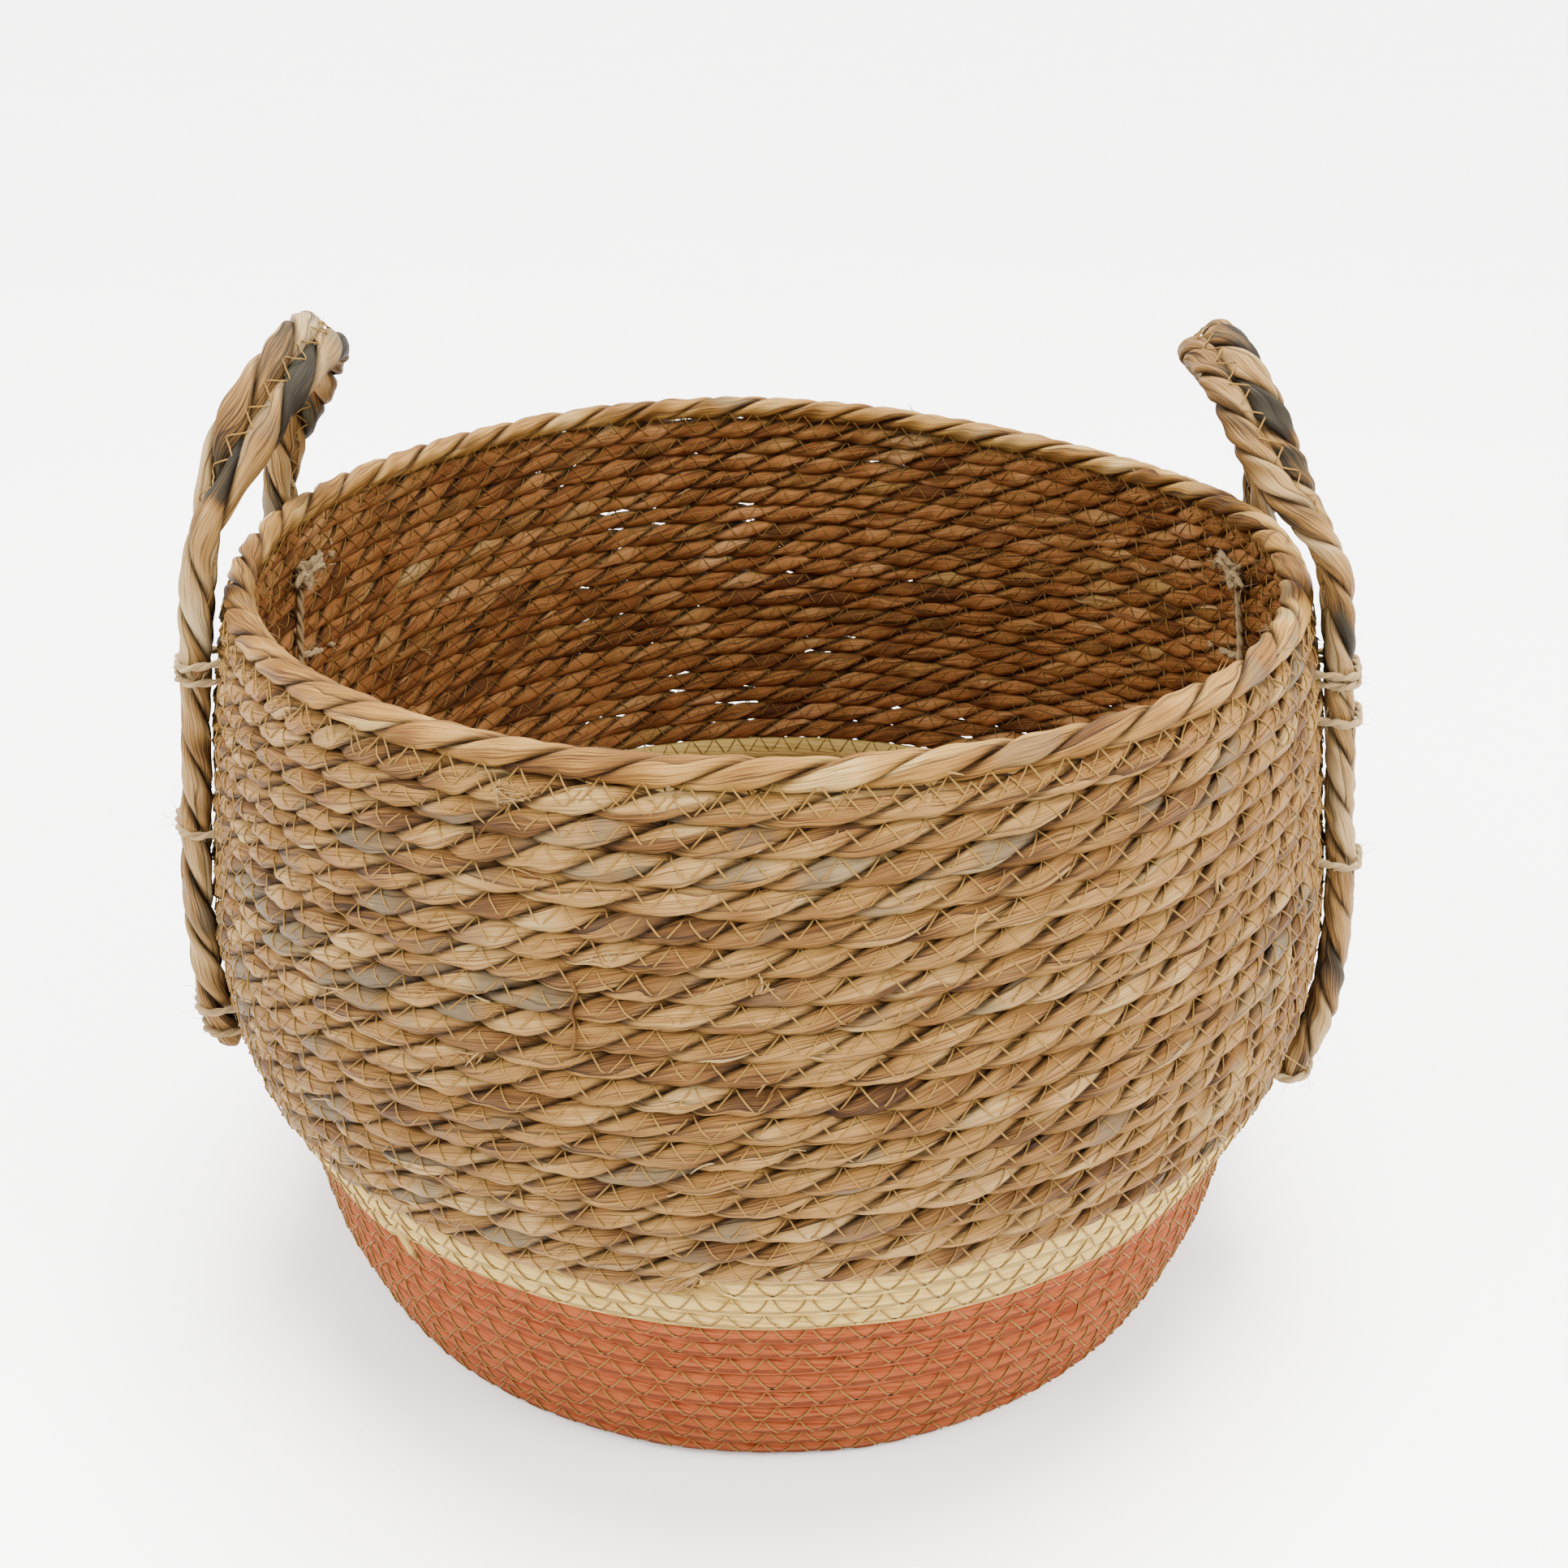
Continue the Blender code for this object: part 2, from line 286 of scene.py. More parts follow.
class Tubes:
    """Closed tubes gathered into one mesh, with two vector attributes that the materials read.

    grain is (along the strand, round the strand, seed), in metres; look is (tone, hue, crease shade).
    Crease shade is painted shade in creases and where rows meet; the hue drops below zero where painted
    warm bounce light tints the inside of the wall; paper ropes carry painted needle-hole shade in place of
    the hue.
    """

    def __init__(self):
        self.points, self.grain, self.look = [], [], []
        self.sides, self.polygons = [], []
        self.count = 0

    def add(self, rings, grain, look, closed=False):
        """rings is (stations, sides, 3), turning about the direction of travel."""
        stations, sides = rings.shape[:2]
        self.points.append(rings.reshape(-1, 3))
        self.grain.append(np.broadcast_to(grain, rings.shape).reshape(-1, 3))
        self.look.append(np.broadcast_to(look, rings.shape).reshape(-1, 3))
        index = self.count + np.arange(stations * sides).reshape(stations, sides)
        after = np.roll(index, -1, axis=0) if closed else index[1:]
        here = index if closed else index[:-1]
        quads = np.stack([here, np.roll(here, -1, axis=1), np.roll(after, -1, axis=1), after], axis=-1)
        self.polygons.append((4, quads.reshape(-1)))
        if not closed:
            self.polygons.append((sides, index[0][::-1]))
            self.polygons.append((sides, index[-1]))
        self.count += stations * sides

    def arrays(self):
        return np.vstack(self.points), [flat.reshape(-1, n) for n, flat in self.polygons]

    def make(self, name, material):
        points = np.vstack(self.points)
        loops = np.concatenate([flat for _, flat in self.polygons]).astype(np.int32)
        totals = np.concatenate([np.full(len(flat) // n, n) for n, flat in self.polygons])
        starts = np.concatenate([[0], np.cumsum(totals)[:-1]]).astype(np.int32)
        mesh = bpy.data.meshes.new(name)
        mesh.vertices.add(len(points))
        mesh.vertices.foreach_set("co", points.astype(np.float32).ravel())
        mesh.loops.add(len(loops))
        mesh.loops.foreach_set("vertex_index", loops)
        mesh.polygons.add(len(starts))
        mesh.polygons.foreach_set("loop_start", starts)
        mesh.update(calc_edges=True)
        mesh.polygons.foreach_set("use_smooth", np.ones(len(starts), bool))
        for label, values in (("grain", self.grain), ("look", self.look)):
            attribute = mesh.attributes.new(label, "FLOAT_VECTOR", "POINT")
            attribute.data.foreach_set("vector", np.vstack(values).astype(np.float32).ravel())
        mesh.materials.append(material)
        obj = bpy.data.objects.new(name, mesh)
        bpy.context.scene.collection.objects.link(obj)
        return obj


def plain_tube(tubes, path, radius, sides=4, look=(0.5, 0.5, 0.0), seed=0.0, normal=None, widen=1.0):
    """A thin tube along path, widen times as wide across normal. radius is one number or a list."""
    path = np.asarray(path, float)
    tangent = tangents(path)
    if normal is None:
        guide = np.array([0.0, 0.0, 1.0]) if abs(tangent[:, 2]).mean() < 0.8 else np.array([1.0, 0, 0])
        normal = np.broadcast_to(guide, path.shape)
    across = unit(np.cross(tangent, normal))
    outward = np.cross(across, tangent)
    angle = np.arange(sides) * 2 * math.pi / sides
    radius = np.broadcast_to(radius, len(path))[:, None, None]
    rings = path[:, None] + radius * (outward[:, None] * np.cos(angle)[None, :, None]
                                      + across[:, None] * np.sin(angle)[None, :, None] * widen)
    along = lengths_along(path)
    grain = np.stack(np.broadcast_arrays(along[:, None], angle[None] * radius[:, :, 0], seed), axis=-1)
    tubes.add(rings, grain, np.asarray(look, float))


# Angles round a strand: close together on its outer side, wide apart where it faces the other strand
STRAND_ANGLES = np.radians([-150, -112, -84, -60, -38, -18, 0, 18, 38, 60, 84, 112, 150, 180])
FINE_ANGLES = np.radians(
    [-158, -130, -106, -86, -68, -51, -35, -20, -6, 8, 22, 37, 53, 70, 88, 108, 132, 158])


def twisted_rope(tubes, path, normal, distance, rng, diameter, lay, closed=False, angles=STRAND_ANGLES,
                 flat=(1.0, 1.0), size=1.0, crease_depth=0.10, fullness=0.42, tone=(0.5, 0.10),
                 hue_spread=0.30, phase=0.0, dark_share=0.0, wander=0.19, bounce_tint=0.0):
    """Two strands of twisted leaf round each other. flat scales the rope along and across normal."""
    tangent = tangents(path)
    if closed:
        tangent = unit(np.roll(path, -1, axis=0) - np.roll(path, 1, axis=0))
    up = unit(np.cross(tangent, normal))
    normal = np.cross(up, tangent)
    turns = distance / lay
    if closed:
        turns = turns * round(distance[-1] / lay) / (distance[-1] / lay)
    twist = phase - 2 * math.pi * (turns + wander * drift(rng, distance, 0.16, closed))
    size = np.broadcast_to(size, len(path))
    for k in range(2):
        seed = rng.uniform(0, 50)
        turn = twist + k * math.pi + 0.10 * drift(rng, distance, 0.05, closed)
        out = np.cos(turn)[:, None] * normal + np.sin(turn)[:, None] * up
        side = np.cos(turn)[:, None] * up - np.sin(turn)[:, None] * normal
        swell = 1 + 0.10 * drift(rng, distance, 0.022, closed)
        reach = (0.5 - STRAND_THICKNESS + 0.012 * drift(rng, distance, 0.03, closed)) * diameter * size
        thick = STRAND_THICKNESS * diameter * size * swell
        wide = fullness * diameter * size * (1 + 0.06 * drift(rng, distance, 0.035, closed))
        yarn = distance * 2 * math.pi * YARN_TURN / lay + 0.5 * drift(rng, distance, 0.06, closed)
        if closed:
            rounds = max(round(distance[-1] * YARN_TURN / lay), 1)
            yarn = distance / distance[-1] * 2 * math.pi * rounds
        angle = angles[None, :]
        depth = np.zeros((len(path), len(angles)))
        for j in range(LEAVES_PER_STRAND):
            edge = (yarn + j * 2 * math.pi / LEAVES_PER_STRAND)[:, None]
            depth += np.exp(-((wrap(angle - edge) / 0.30) ** 2))
        value = tone[0] + tone[1] * drift(rng, distance, 0.05, closed)[:, None]
        hue = 0.5 + hue_spread * drift(rng, distance, 0.07, closed)[:, None]
        if dark_share:
            darker = drift(rng, distance, 0.05, closed)[:, None] - dark_share
            value = value - 0.6 * smoothstep(darker / 0.25)
        shape = 1 - crease_depth * depth
        inner = np.where(np.cos(angle) < 0, 0.72, 1.0)
        bluff = np.sign(np.cos(angle)) * np.abs(np.cos(angle)) ** 0.8
        x = reach[:, None] + thick[:, None] * shape * bluff * inner
        y = wide[:, None] * shape * np.sin(angle)
        rings = x[..., None] * out[:, None] + y[..., None] * side[:, None]
        along_normal = (rings * normal[:, None]).sum(-1, keepdims=True)
        along_up = (rings * up[:, None]).sum(-1, keepdims=True)
        rings = (path[:, None] + along_normal * normal[:, None] * flat[0]
                 + along_up * up[:, None] * flat[1])
        around = (angle - yarn[:, None]) * LEAF_RADIUS
        grain = np.stack(np.broadcast_arrays(distance[:, None], around, seed), axis=-1)
        # crease_shade: painted shade on the side of each strand that lies against the other strand
        crease_shade = smoothstep((np.abs(angle) - 1.25) / 0.9)
        # painted warm bounce light: how far a point faces the inside of the wall, taken off the hue
        inside = smoothstep(-along_normal[..., 0] / (0.3 * diameter)) * bounce_tint
        look = np.stack(np.broadcast_arrays(value, hue - inside, crease_shade), axis=-1)
        tubes.add(rings, grain, look, closed)


# ---------------------------------------------------------------- the coil's path


def outline_radius(z):
    """Outside radius of the wall at height z, on a smooth curve through WALL_OUTLINE."""
    shares, radii = (np.array(column) for column in zip(*WALL_OUTLINE))
    slopes = np.gradient(radii) / np.gradient(shares)
    share = np.clip(np.asarray(z, float) / HEIGHT, 0.0, 1.0)
    i = np.clip(np.searchsorted(shares, share, side="right") - 1, 0, len(shares) - 2)
    step = shares[i + 1] - shares[i]
    t = (share - shares[i]) / step
    h00, h10 = 2 * t**3 - 3 * t**2 + 1, t**3 - 2 * t**2 + t
    h01, h11 = -2 * t**3 + 3 * t**2, t**3 - t**2
    return RIM_RADIUS * (h00 * radii[i] + h10 * step * slopes[i] + h01 * radii[i + 1]
                         + h11 * step * slopes[i + 1])


def mound(azimuth, middle, spread, height):
    """A rounded rise of the given height, spread about the middle azimuth."""
    return height * np.exp(-((wrap(azimuth - middle) / spread) ** 2))


def settle(azimuth):
    """How far the soft rim stands above its even height at each azimuth."""
    front = smoothstep((0.05 - np.sin(azimuth)) / 0.45)
    return mound(azimuth, *RISE_AT_BACK_LEFT) - DIP_IN_FRONT * front - mound(azimuth, *DIP_AT_BACK_RIGHT)


def settled(points):
    """The points on the slightly oval basket, moved up or down with the rim, down to the belly."""
    points = points * np.array([1.0, OVAL, 1.0])
    share = smoothstep((points[..., 2] - SETTLE_FROM) / (HEIGHT - SETTLE_FROM))
    rise = settle(np.arctan2(points[..., 1], points[..., 0])) * share
    return points + rise[..., None] * np.array([0.0, 0.0, 1.0])


class Profile:
    """The centre line of the coil's section: along the floor, round the corner and up the wall.

    Places on it are given as w, metres from the corner: negative on the floor, positive on the wall.
    """

    def __init__(self):
        low = PAPER_ROPE / 2
        heights = np.linspace(low, HEIGHT, 400)
        half = np.interp(heights, (0.085, 0.105), (PAPER_ROPE / 2, SEAGRASS_ROPE / 2))
        radii = outline_radius(heights) - half
        floor = np.linspace(0.0, radii[0], 200)[:-1]
        self.r = np.concatenate([floor, radii])
        self.z = np.concatenate([np.full(len(floor), low), heights])
        corner = len(floor)
        for _ in range(12):
            near = slice(corner - 8, corner + 12)
            for line in (self.r, self.z):
                line[near] = (line[corner - 9: corner + 11] + line[near] * 2
                              + line[corner - 7: corner + 13]) / 4
        self.z = np.maximum(self.z, low + FLOOR_LIFT)
        lengths = np.hypot(np.diff(self.r), np.diff(self.z))
        self.w = np.concatenate([[0], np.cumsum(lengths)])
        self.w -= self.w[corner]
        self.normal_r = np.gradient(self.z, self.w)
        self.normal_z = -np.gradient(self.r, self.w)

    def at_height(self, z):
        """w at height z on the wall."""
        wall = self.w > 0
        return float(np.interp(z, self.z[wall], self.w[wall]))

    def place(self, w, azimuth):
        """Point and outward normal on the coil's section at w."""
        r, z = np.interp(w, self.w, self.r), np.interp(w, self.w, self.z)
        nr, nz = np.interp(w, self.w, self.normal_r), np.interp(w, self.w, self.normal_z)
        length = np.hypot(nr, nz)
        nr, nz = nr / length, nz / length
        c, s = np.cos(azimuth), np.sin(azimuth)
        point = settled(np.stack(np.broadcast_arrays(r * c, r * s, z), axis=-1))
        return point, np.stack(np.broadcast_arrays(nr * c, nr * s, nz), axis=-1)


profile = Profile()
RIM_LOW, RIM_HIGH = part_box("rim_rope")
RIM_ROPE = (RIM_HIGH.z - RIM_LOW.z) / math.cos(math.pi / 8)
RIM_Z = (RIM_HIGH.z + RIM_LOW.z) / 2
RIM_CENTRE_RADIUS = RIM_HIGH.x - RIM_ROPE / 2
CORAL_TOP_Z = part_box("coral_wall_coil")[1].z
CREAM_TOP_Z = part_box("cream_wall_coil")[1].z
WALL_TOP_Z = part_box("seagrass_wall_coil")[1].z

CREAM_START_W = profile.at_height(CORAL_TOP_Z) - CORAL_BELOW_BOUNDARY
SEAGRASS_START_W = profile.at_height(CREAM_TOP_Z) - CREAM_BELOW_BOUNDARY
CREAM_PITCH = (SEAGRASS_START_W - CREAM_START_W) / CREAM_TURNS
WALL_TOP_W = profile.at_height(WALL_TOP_Z)


def last_turn():
    """The turn at which the coil ends: the last one that reaches LAST_ROW_AZIMUTH under the rim."""
    rows = (WALL_TOP_W - SEAGRASS_PITCH / 2 - SEAGRASS_START_W) / SEAGRASS_PITCH
    turn = CREAM_TURNS + rows
    start = (CREAM_START_AZIMUTH - LAST_ROW_AZIMUTH) / (2 * math.pi)
    return start + math.ceil(turn - start)


LAST_TURN = last_turn()
FIRST_TURN = -(CREAM_START_W - profile.w[0] - CENTRE_RADIUS) / CORAL_PITCH
CORNER_TURN = -CREAM_START_W / CORAL_PITCH
FIRST_STITCH_TURN = CORNER_TURN + 0.1


def azimuth_at(turn):
    return CREAM_START_AZIMUTH - turn * 2 * math.pi


def w_at(turn):
    """w of the coil's centre. Near the top the rows are evened out, so that they end level."""
    turn = np.asarray(turn, float)
    w = np.where(turn < 0, CREAM_START_W + turn * CORAL_PITCH,
                 np.where(turn < CREAM_TURNS, CREAM_START_W + turn * CREAM_PITCH,
                          SEAGRASS_START_W + (turn - CREAM_TURNS) * SEAGRASS_PITCH))
    share = 1 - (LAST_TURN - turn) % 1.0
    top = SEAGRASS_START_W + (LAST_TURN - CREAM_TURNS) * SEAGRASS_PITCH
    highest = top - SEAGRASS_PITCH * (1 - share)
    highest = highest - SEAGRASS_PITCH * smoothstep((share - 1 + LAST_ROW_TAPER) / LAST_ROW_TAPER)
    level = WALL_TOP_W - SEAGRASS_PITCH / 2
    base = level - EVEN_OUT_LENGTH
    evened = base + (w - base) * (level - base) / (highest - base)
    return np.where(w > base, np.minimum(evened, WALL_TOP_W - 0.0012), w)


def pitch_at(turn):
    """Height of one row, along the wall, at this turn."""
    return (w_at(turn + 0.5) - w_at(turn - 0.5)).clip(0.006, 0.011)


def coil_stretch(first, last, step):
    """Turns, points, normals and distances along the coil, a step apart."""
    dense = np.linspace(first, last, int((last - first) * 240) + 2)
    points, _ = profile.place(w_at(dense), azimuth_at(dense))
    along = lengths_along(points)
    count = int(along[-1] / step)
    turns = np.interp(np.arange(count + 1) * step, along, dense)
    points, normals = profile.place(w_at(turns), azimuth_at(turns))
    return turns, points, normals, np.arange(count + 1) * step


# ---------------------------------------------------------------- materials


class Nodes:
    """Short names for building a material's node tree."""

    def __init__(self, name):
        self.material = bpy.data.materials.new(name)
        self.material.use_nodes = True
        self.tree = self.material.node_tree
        self.shader = self.tree.nodes["Principled BSDF"]

    def put(self, value, socket):
        if isinstance(value, bpy.types.NodeSocket):
            self.tree.links.new(value, socket)
        elif socket.type == "RGBA" and len(value) == 3:
            socket.default_value = (*value, 1.0)
        else:
            socket.default_value = value

    def node(self, kind, settings=(), **inputs):
        node = self.tree.nodes.new(kind)
        for key, value in dict(settings).items():
            setattr(node, key, value)
        for key, value in inputs.items():
            self.put(value, node.inputs[key.replace("_", " ")])
        return node

    def parts(self, name):
        """The three numbers of a vector attribute."""
        attribute = self.node("ShaderNodeAttribute", {"attribute_name": name})
        return self.node("ShaderNodeSeparateXYZ", Vector=attribute.outputs["Vector"]).outputs[:3]

    def maths(self, operation, a, b=0.0, clamp=False):
        node = self.node("ShaderNodeMath", {"operation": operation, "use_clamp": clamp})
        for socket, value in zip(node.inputs, (a, b, 0.0)):
            self.put(value, socket)
        return node.outputs[0]

    def times(self, a, b):
        return self.maths("MULTIPLY", a, b)

    def plus(self, a, b, clamp=False):
        return self.maths("ADD", a, b, clamp)

    def noise(self, vector, scale=1.0, detail=3.0, roughness=0.55):
        node = self.node("ShaderNodeTexNoise", Vector=vector, Scale=scale, Detail=detail,
                         Roughness=roughness)
        return node.outputs["Fac"]

    def streaks(self, grain, along, around, shift=0.0, detail=3.0):
        """Noise drawn out along the strand: cycles a metre along it and round it."""
        x = self.times(grain[0], along)
        y = self.times(grain[1], around)
        z = self.plus(grain[2], shift)
        vector = self.node("ShaderNodeCombineXYZ", X=x, Y=y, Z=z).outputs[0]
        return self.noise(vector, detail=detail)

    def ramp(self, factor, stops):
        node = self.node("ShaderNodeValToRGB", Fac=factor)
        elements = node.color_ramp.elements
        while len(elements) < len(stops):
            elements.new(0.5)
        for element, (place, colour) in zip(elements, stops):
            element.position = place
            element.color = (*colour, 1.0)
        return node.outputs["Color"]

    def mix(self, factor, a, b, blend="MIX"):
        node = self.node("ShaderNodeMix", {"data_type": "RGBA", "blend_type": blend})
        for socket, value in ((node.inputs[0], factor), (node.inputs[6], a), (node.inputs[7], b)):
            self.put(value, socket)
        return node.outputs[2]

    def range(self, value, low, high, to_low=0.0, to_high=1.0):
        node = self.node("ShaderNodeMapRange", {"clamp": True}, Value=value)
        for socket, number in zip(list(node.inputs)[1:5], (low, high, to_low, to_high)):
            socket.default_value = number
        return node.outputs["Result"]

    def finish(self, colour, roughness, height, bump_distance, bump_strength=1.0, sheen=0.0,
               specular=0.5):
        bump = self.node("ShaderNodeBump", Height=height, Strength=bump_strength,
                         Distance=bump_distance)
        self.put(colour, self.shader.inputs["Base Color"])
        self.put(roughness, self.shader.inputs["Roughness"])
        self.put(bump.outputs["Normal"], self.shader.inputs["Normal"])
        self.shader.inputs["Sheen Weight"].default_value = sheen
        self.shader.inputs["Specular IOR Level"].default_value = specular
        return self.material


def srgb(red, green, blue):
    """Linear colour of an 8-bit screen colour."""
    values = np.array([red, green, blue]) / 255.0
    linear = np.where(values <= 0.04045, values / 12.92, ((values + 0.055) / 1.055) ** 2.4)
    return tuple(float(v) for v in linear)


def pigment(red, green, blue, gain=1.0):
    """Reflectance that shows as the given 8-bit screen colour in this studio's strong light."""
    return tuple(PIGMENT_GAIN * gain * value ** PIGMENT_POWER for value in srgb(red, green, blue))


def leaf_material(name, tones, grey, dark_and_shade):
    """Dried leaf: long fibres, painted shadow at the leaf edges, painted shade in the creases between
    strands, painted warm bounce light inside the wall, and each leaf its own tone from dark to pale.
    """
    # dark_and_shade is the colour of the dark fibre lines and of the painted shade and shadow
    grey, dark_and_shade = pigment(*grey), pigment(*dark_and_shade)
    n = Nodes(name)
    grain, look = n.parts("grain"), n.parts("look")
    fibres = n.streaks(grain, 50.0, 2900.0, 3.0, 5.0)
    fine = n.streaks(grain, 260.0, 8000.0, 9.0, 2.0)
    wander = n.times(n.streaks(grain, 45.0, 90.0, 5.0, 1.0), 1.1)
    leaf_width = LEAF_RADIUS * 2 * math.pi / LEAVES_PER_STRAND
    place = n.plus(n.maths("DIVIDE", grain[1], leaf_width), wander)
    number, across = n.maths("FLOOR", place), n.maths("FRACT", place)
    own = n.node("ShaderNodeCombineXYZ", X=n.times(grain[0], 30.0),
                 Y=n.times(number, 5.17), Z=grain[2]).outputs[0]
    tone = n.plus(look[0], n.range(n.noise(own, 1.0, 1.0), 0.28, 0.72, -0.34, 0.34))
    tone = n.plus(tone, n.range(fibres, 0.3, 0.7, -0.30, 0.30), clamp=True)
    colour = n.ramp(tone, [(place, pigment(*shown)) for place, shown in tones.items()])
    greyer = n.plus(look[1], n.range(n.noise(own, 1.7, 1.0), 0.3, 0.7, -0.35, 0.35))
    colour = n.mix(n.range(greyer, 0.76, 1.10, 0.0, 0.85), colour, grey)
    # painted warm bounce light: the inside of the wall is multiplied redder and darker
    colour = n.mix(n.range(look[1], 0.0, -0.6), colour, INNER_BOUNCE_TINT, "MULTIPLY")
    lines = n.times(n.range(fibres, 0.43, 0.33), n.range(fine, 0.35, 0.6, 0.3, 1.0))
    colour = n.mix(n.times(lines, 0.85), colour, dark_and_shade)
    # painted shadow along each leaf's edge, where the next leaf laps over it
    lap_shadow = n.range(across, 0.0, 0.13, 1.0, 0.0)
    colour = n.mix(n.times(lap_shadow, 0.8), colour, dark_and_shade)
    # painted shade in the creases between the strands
    edge = n.maths("POWER", look[2], 2.2)
    colour = n.mix(n.times(edge, 0.75), colour, dark_and_shade)
    rounded = n.times(n.maths("SINE", n.times(across, math.pi)), 0.9)
    height = n.plus(n.plus(fibres, n.times(fine, 0.35)), rounded)
    roughness = n.range(fibres, 0.3, 0.7, 0.72, 0.50)
    return n.finish(colour, roughness, height, 0.0006, 0.8, specular=0.10)


def paper_material(name, base, pale, shadow, hole_shade):
    """Twisted paper rope: shallow slanting wrinkles with painted highlight on their crests and painted
    shadow in their folds, painted shade along the rows' edges, and painted shade in the hole at each
    stitch.
    """
    n = Nodes(name)
    grain, look = n.parts("grain"), n.parts("look")
    wrinkles = n.streaks(grain, 75.0, 1100.0, 0.0, 5.0)
    fine = n.streaks(grain, 500.0, 3200.0, 5.0, 3.0)
    # the wrinkles' crests painted paler as highlight, and their folds painted in shadow
    colour = n.mix(n.range(wrinkles, 0.35, 0.68), base, pale)
    fold_shadow = n.times(n.range(wrinkles, 0.46, 0.36), n.range(fine, 0.3, 0.6, 0.5, 1.0))
    colour = n.mix(n.times(fold_shadow, 0.75), colour, shadow)
    colour = n.mix(n.range(fine, 0.3, 0.75, 0.0, 0.22), colour, pale)
    colour = n.mix(n.range(look[0], 0.3, 0.7, 0.0, 0.25), colour, pale)
    # painted shade along the row's top and bottom edges, where it meets the rows beside it
    edge = n.maths("POWER", look[2], 2.0)
    colour = n.mix(n.times(edge, 0.55), colour, shadow)
    # painted shade in the needle holes
    colour = n.mix(n.range(look[1], 0.52, 0.66), colour, hole_shade)
    height = n.plus(wrinkles, n.times(fine, 0.25))
    roughness = n.range(fine, 0.3, 0.7, 0.86, 0.66)
    return n.finish(colour, roughness, height, 0.0014, 0.9, specular=0.05)


def thread_material(name, pale, deep):
    """Two-ply cotton thread, its plies seen as slanting marks."""
    n = Nodes(name)
    grain, look = n.parts("grain"), n.parts("look")
    ply = n.maths("SINE", n.plus(n.times(grain[0], 7000.0), n.times(grain[1], 4000.0)))
    fuzz = n.streaks(grain, 900.0, 3000.0)
    tone = n.plus(look[0], n.range(fuzz, 0.3, 0.7, -0.2, 0.2), clamp=True)
    colour = n.mix(tone, deep, pale)
    colour = n.mix(n.range(ply, -1.0, -0.2, 0.4, 0.0), colour, deep)
    height = n.plus(n.times(ply, 0.5), fuzz)
    return n.finish(colour, n.range(fuzz, 0.3, 0.7, 0.75, 0.5), height, 0.0001, 0.6,
                    specular=0.12)


def jute_material(name, pale, deep):
    """Hairy spun twine."""
    n = Nodes(name)
    grain, look = n.parts("grain"), n.parts("look")
    hairs = n.streaks(grain, 400.0, 5000.0, 0.0, 4.0)
    tone = n.plus(look[0], n.range(hairs, 0.3, 0.7, -0.35, 0.35), clamp=True)
    colour = n.mix(tone, deep, pale)
    colour = n.mix(n.times(look[2], 0.6), colour, deep)
    return n.finish(colour, n.range(hairs, 0.3, 0.7, 0.95, 0.8), hairs, 0.0004, 0.8,
                    sheen=0.08, specular=0.05)


SEAGRASS = leaf_material(
    "seagrass_leaf",
    {0.0: (104, 74, 38), 0.3: (160, 120, 68), 0.55: (196, 156, 96), 0.8: (216, 182, 124),
     1.0: (232, 206, 156)},
    grey=(156, 142, 116), dark_and_shade=(66, 44, 22))
RIM = leaf_material(
    "rim_leaf",
    {0.0: (112, 78, 38), 0.3: (168, 126, 66), 0.55: (202, 160, 92), 0.8: (222, 186, 118),
     1.0: (240, 214, 158)},
    grey=(166, 152, 120), dark_and_shade=(76, 50, 26))
STRAP = leaf_material(
    "strap_leaf",
    {0.0: (86, 80, 64), 0.16: (116, 98, 70), 0.32: (172, 134, 82), 0.55: (204, 168, 112),
     0.8: (222, 192, 142), 1.0: (236, 214, 172)},
    grey=(158, 150, 126), dark_and_shade=(56, 40, 24))
CORAL = paper_material("coral_paper", pigment(199, 110, 66), pigment(214, 142, 98),
                       pigment(146, 64, 36), pigment(50, 20, 10))
CREAM = paper_material("cream_paper", pigment(245, 210, 128, 1.08), pigment(252, 228, 160, 1.08),
                       pigment(200, 156, 82), pigment(90, 66, 34))
THREAD = thread_material("stitching_thread", pigment(212, 178, 108), pigment(166, 128, 70))
JUTE = jute_material("jute_twine", pigment(244, 222, 178), pigment(184, 152, 106))


# ---------------------------------------------------------------- coiled ropes


PAPER_ANGLES = np.arange(14) * 2 * math.pi / 14


def in_step_with_stitches(turn, step):
    """The turn nearest to this one that lies whole steps from the first stitch, and how many."""
    low, high = sorted((turn, FIRST_STITCH_TURN))
    dense = np.linspace(low - 0.05, high + 0.05, int((high - low + 0.1) * 240) + 2)
    points, _ = profile.place(w_at(dense), azimuth_at(dense))
    along = lengths_along(points)
    start = np.interp(FIRST_STITCH_TURN, dense, along)
    steps = int(round((np.interp(turn, dense, along) - start) / step))
    return float(np.interp(start + steps * step, along, dense)), steps


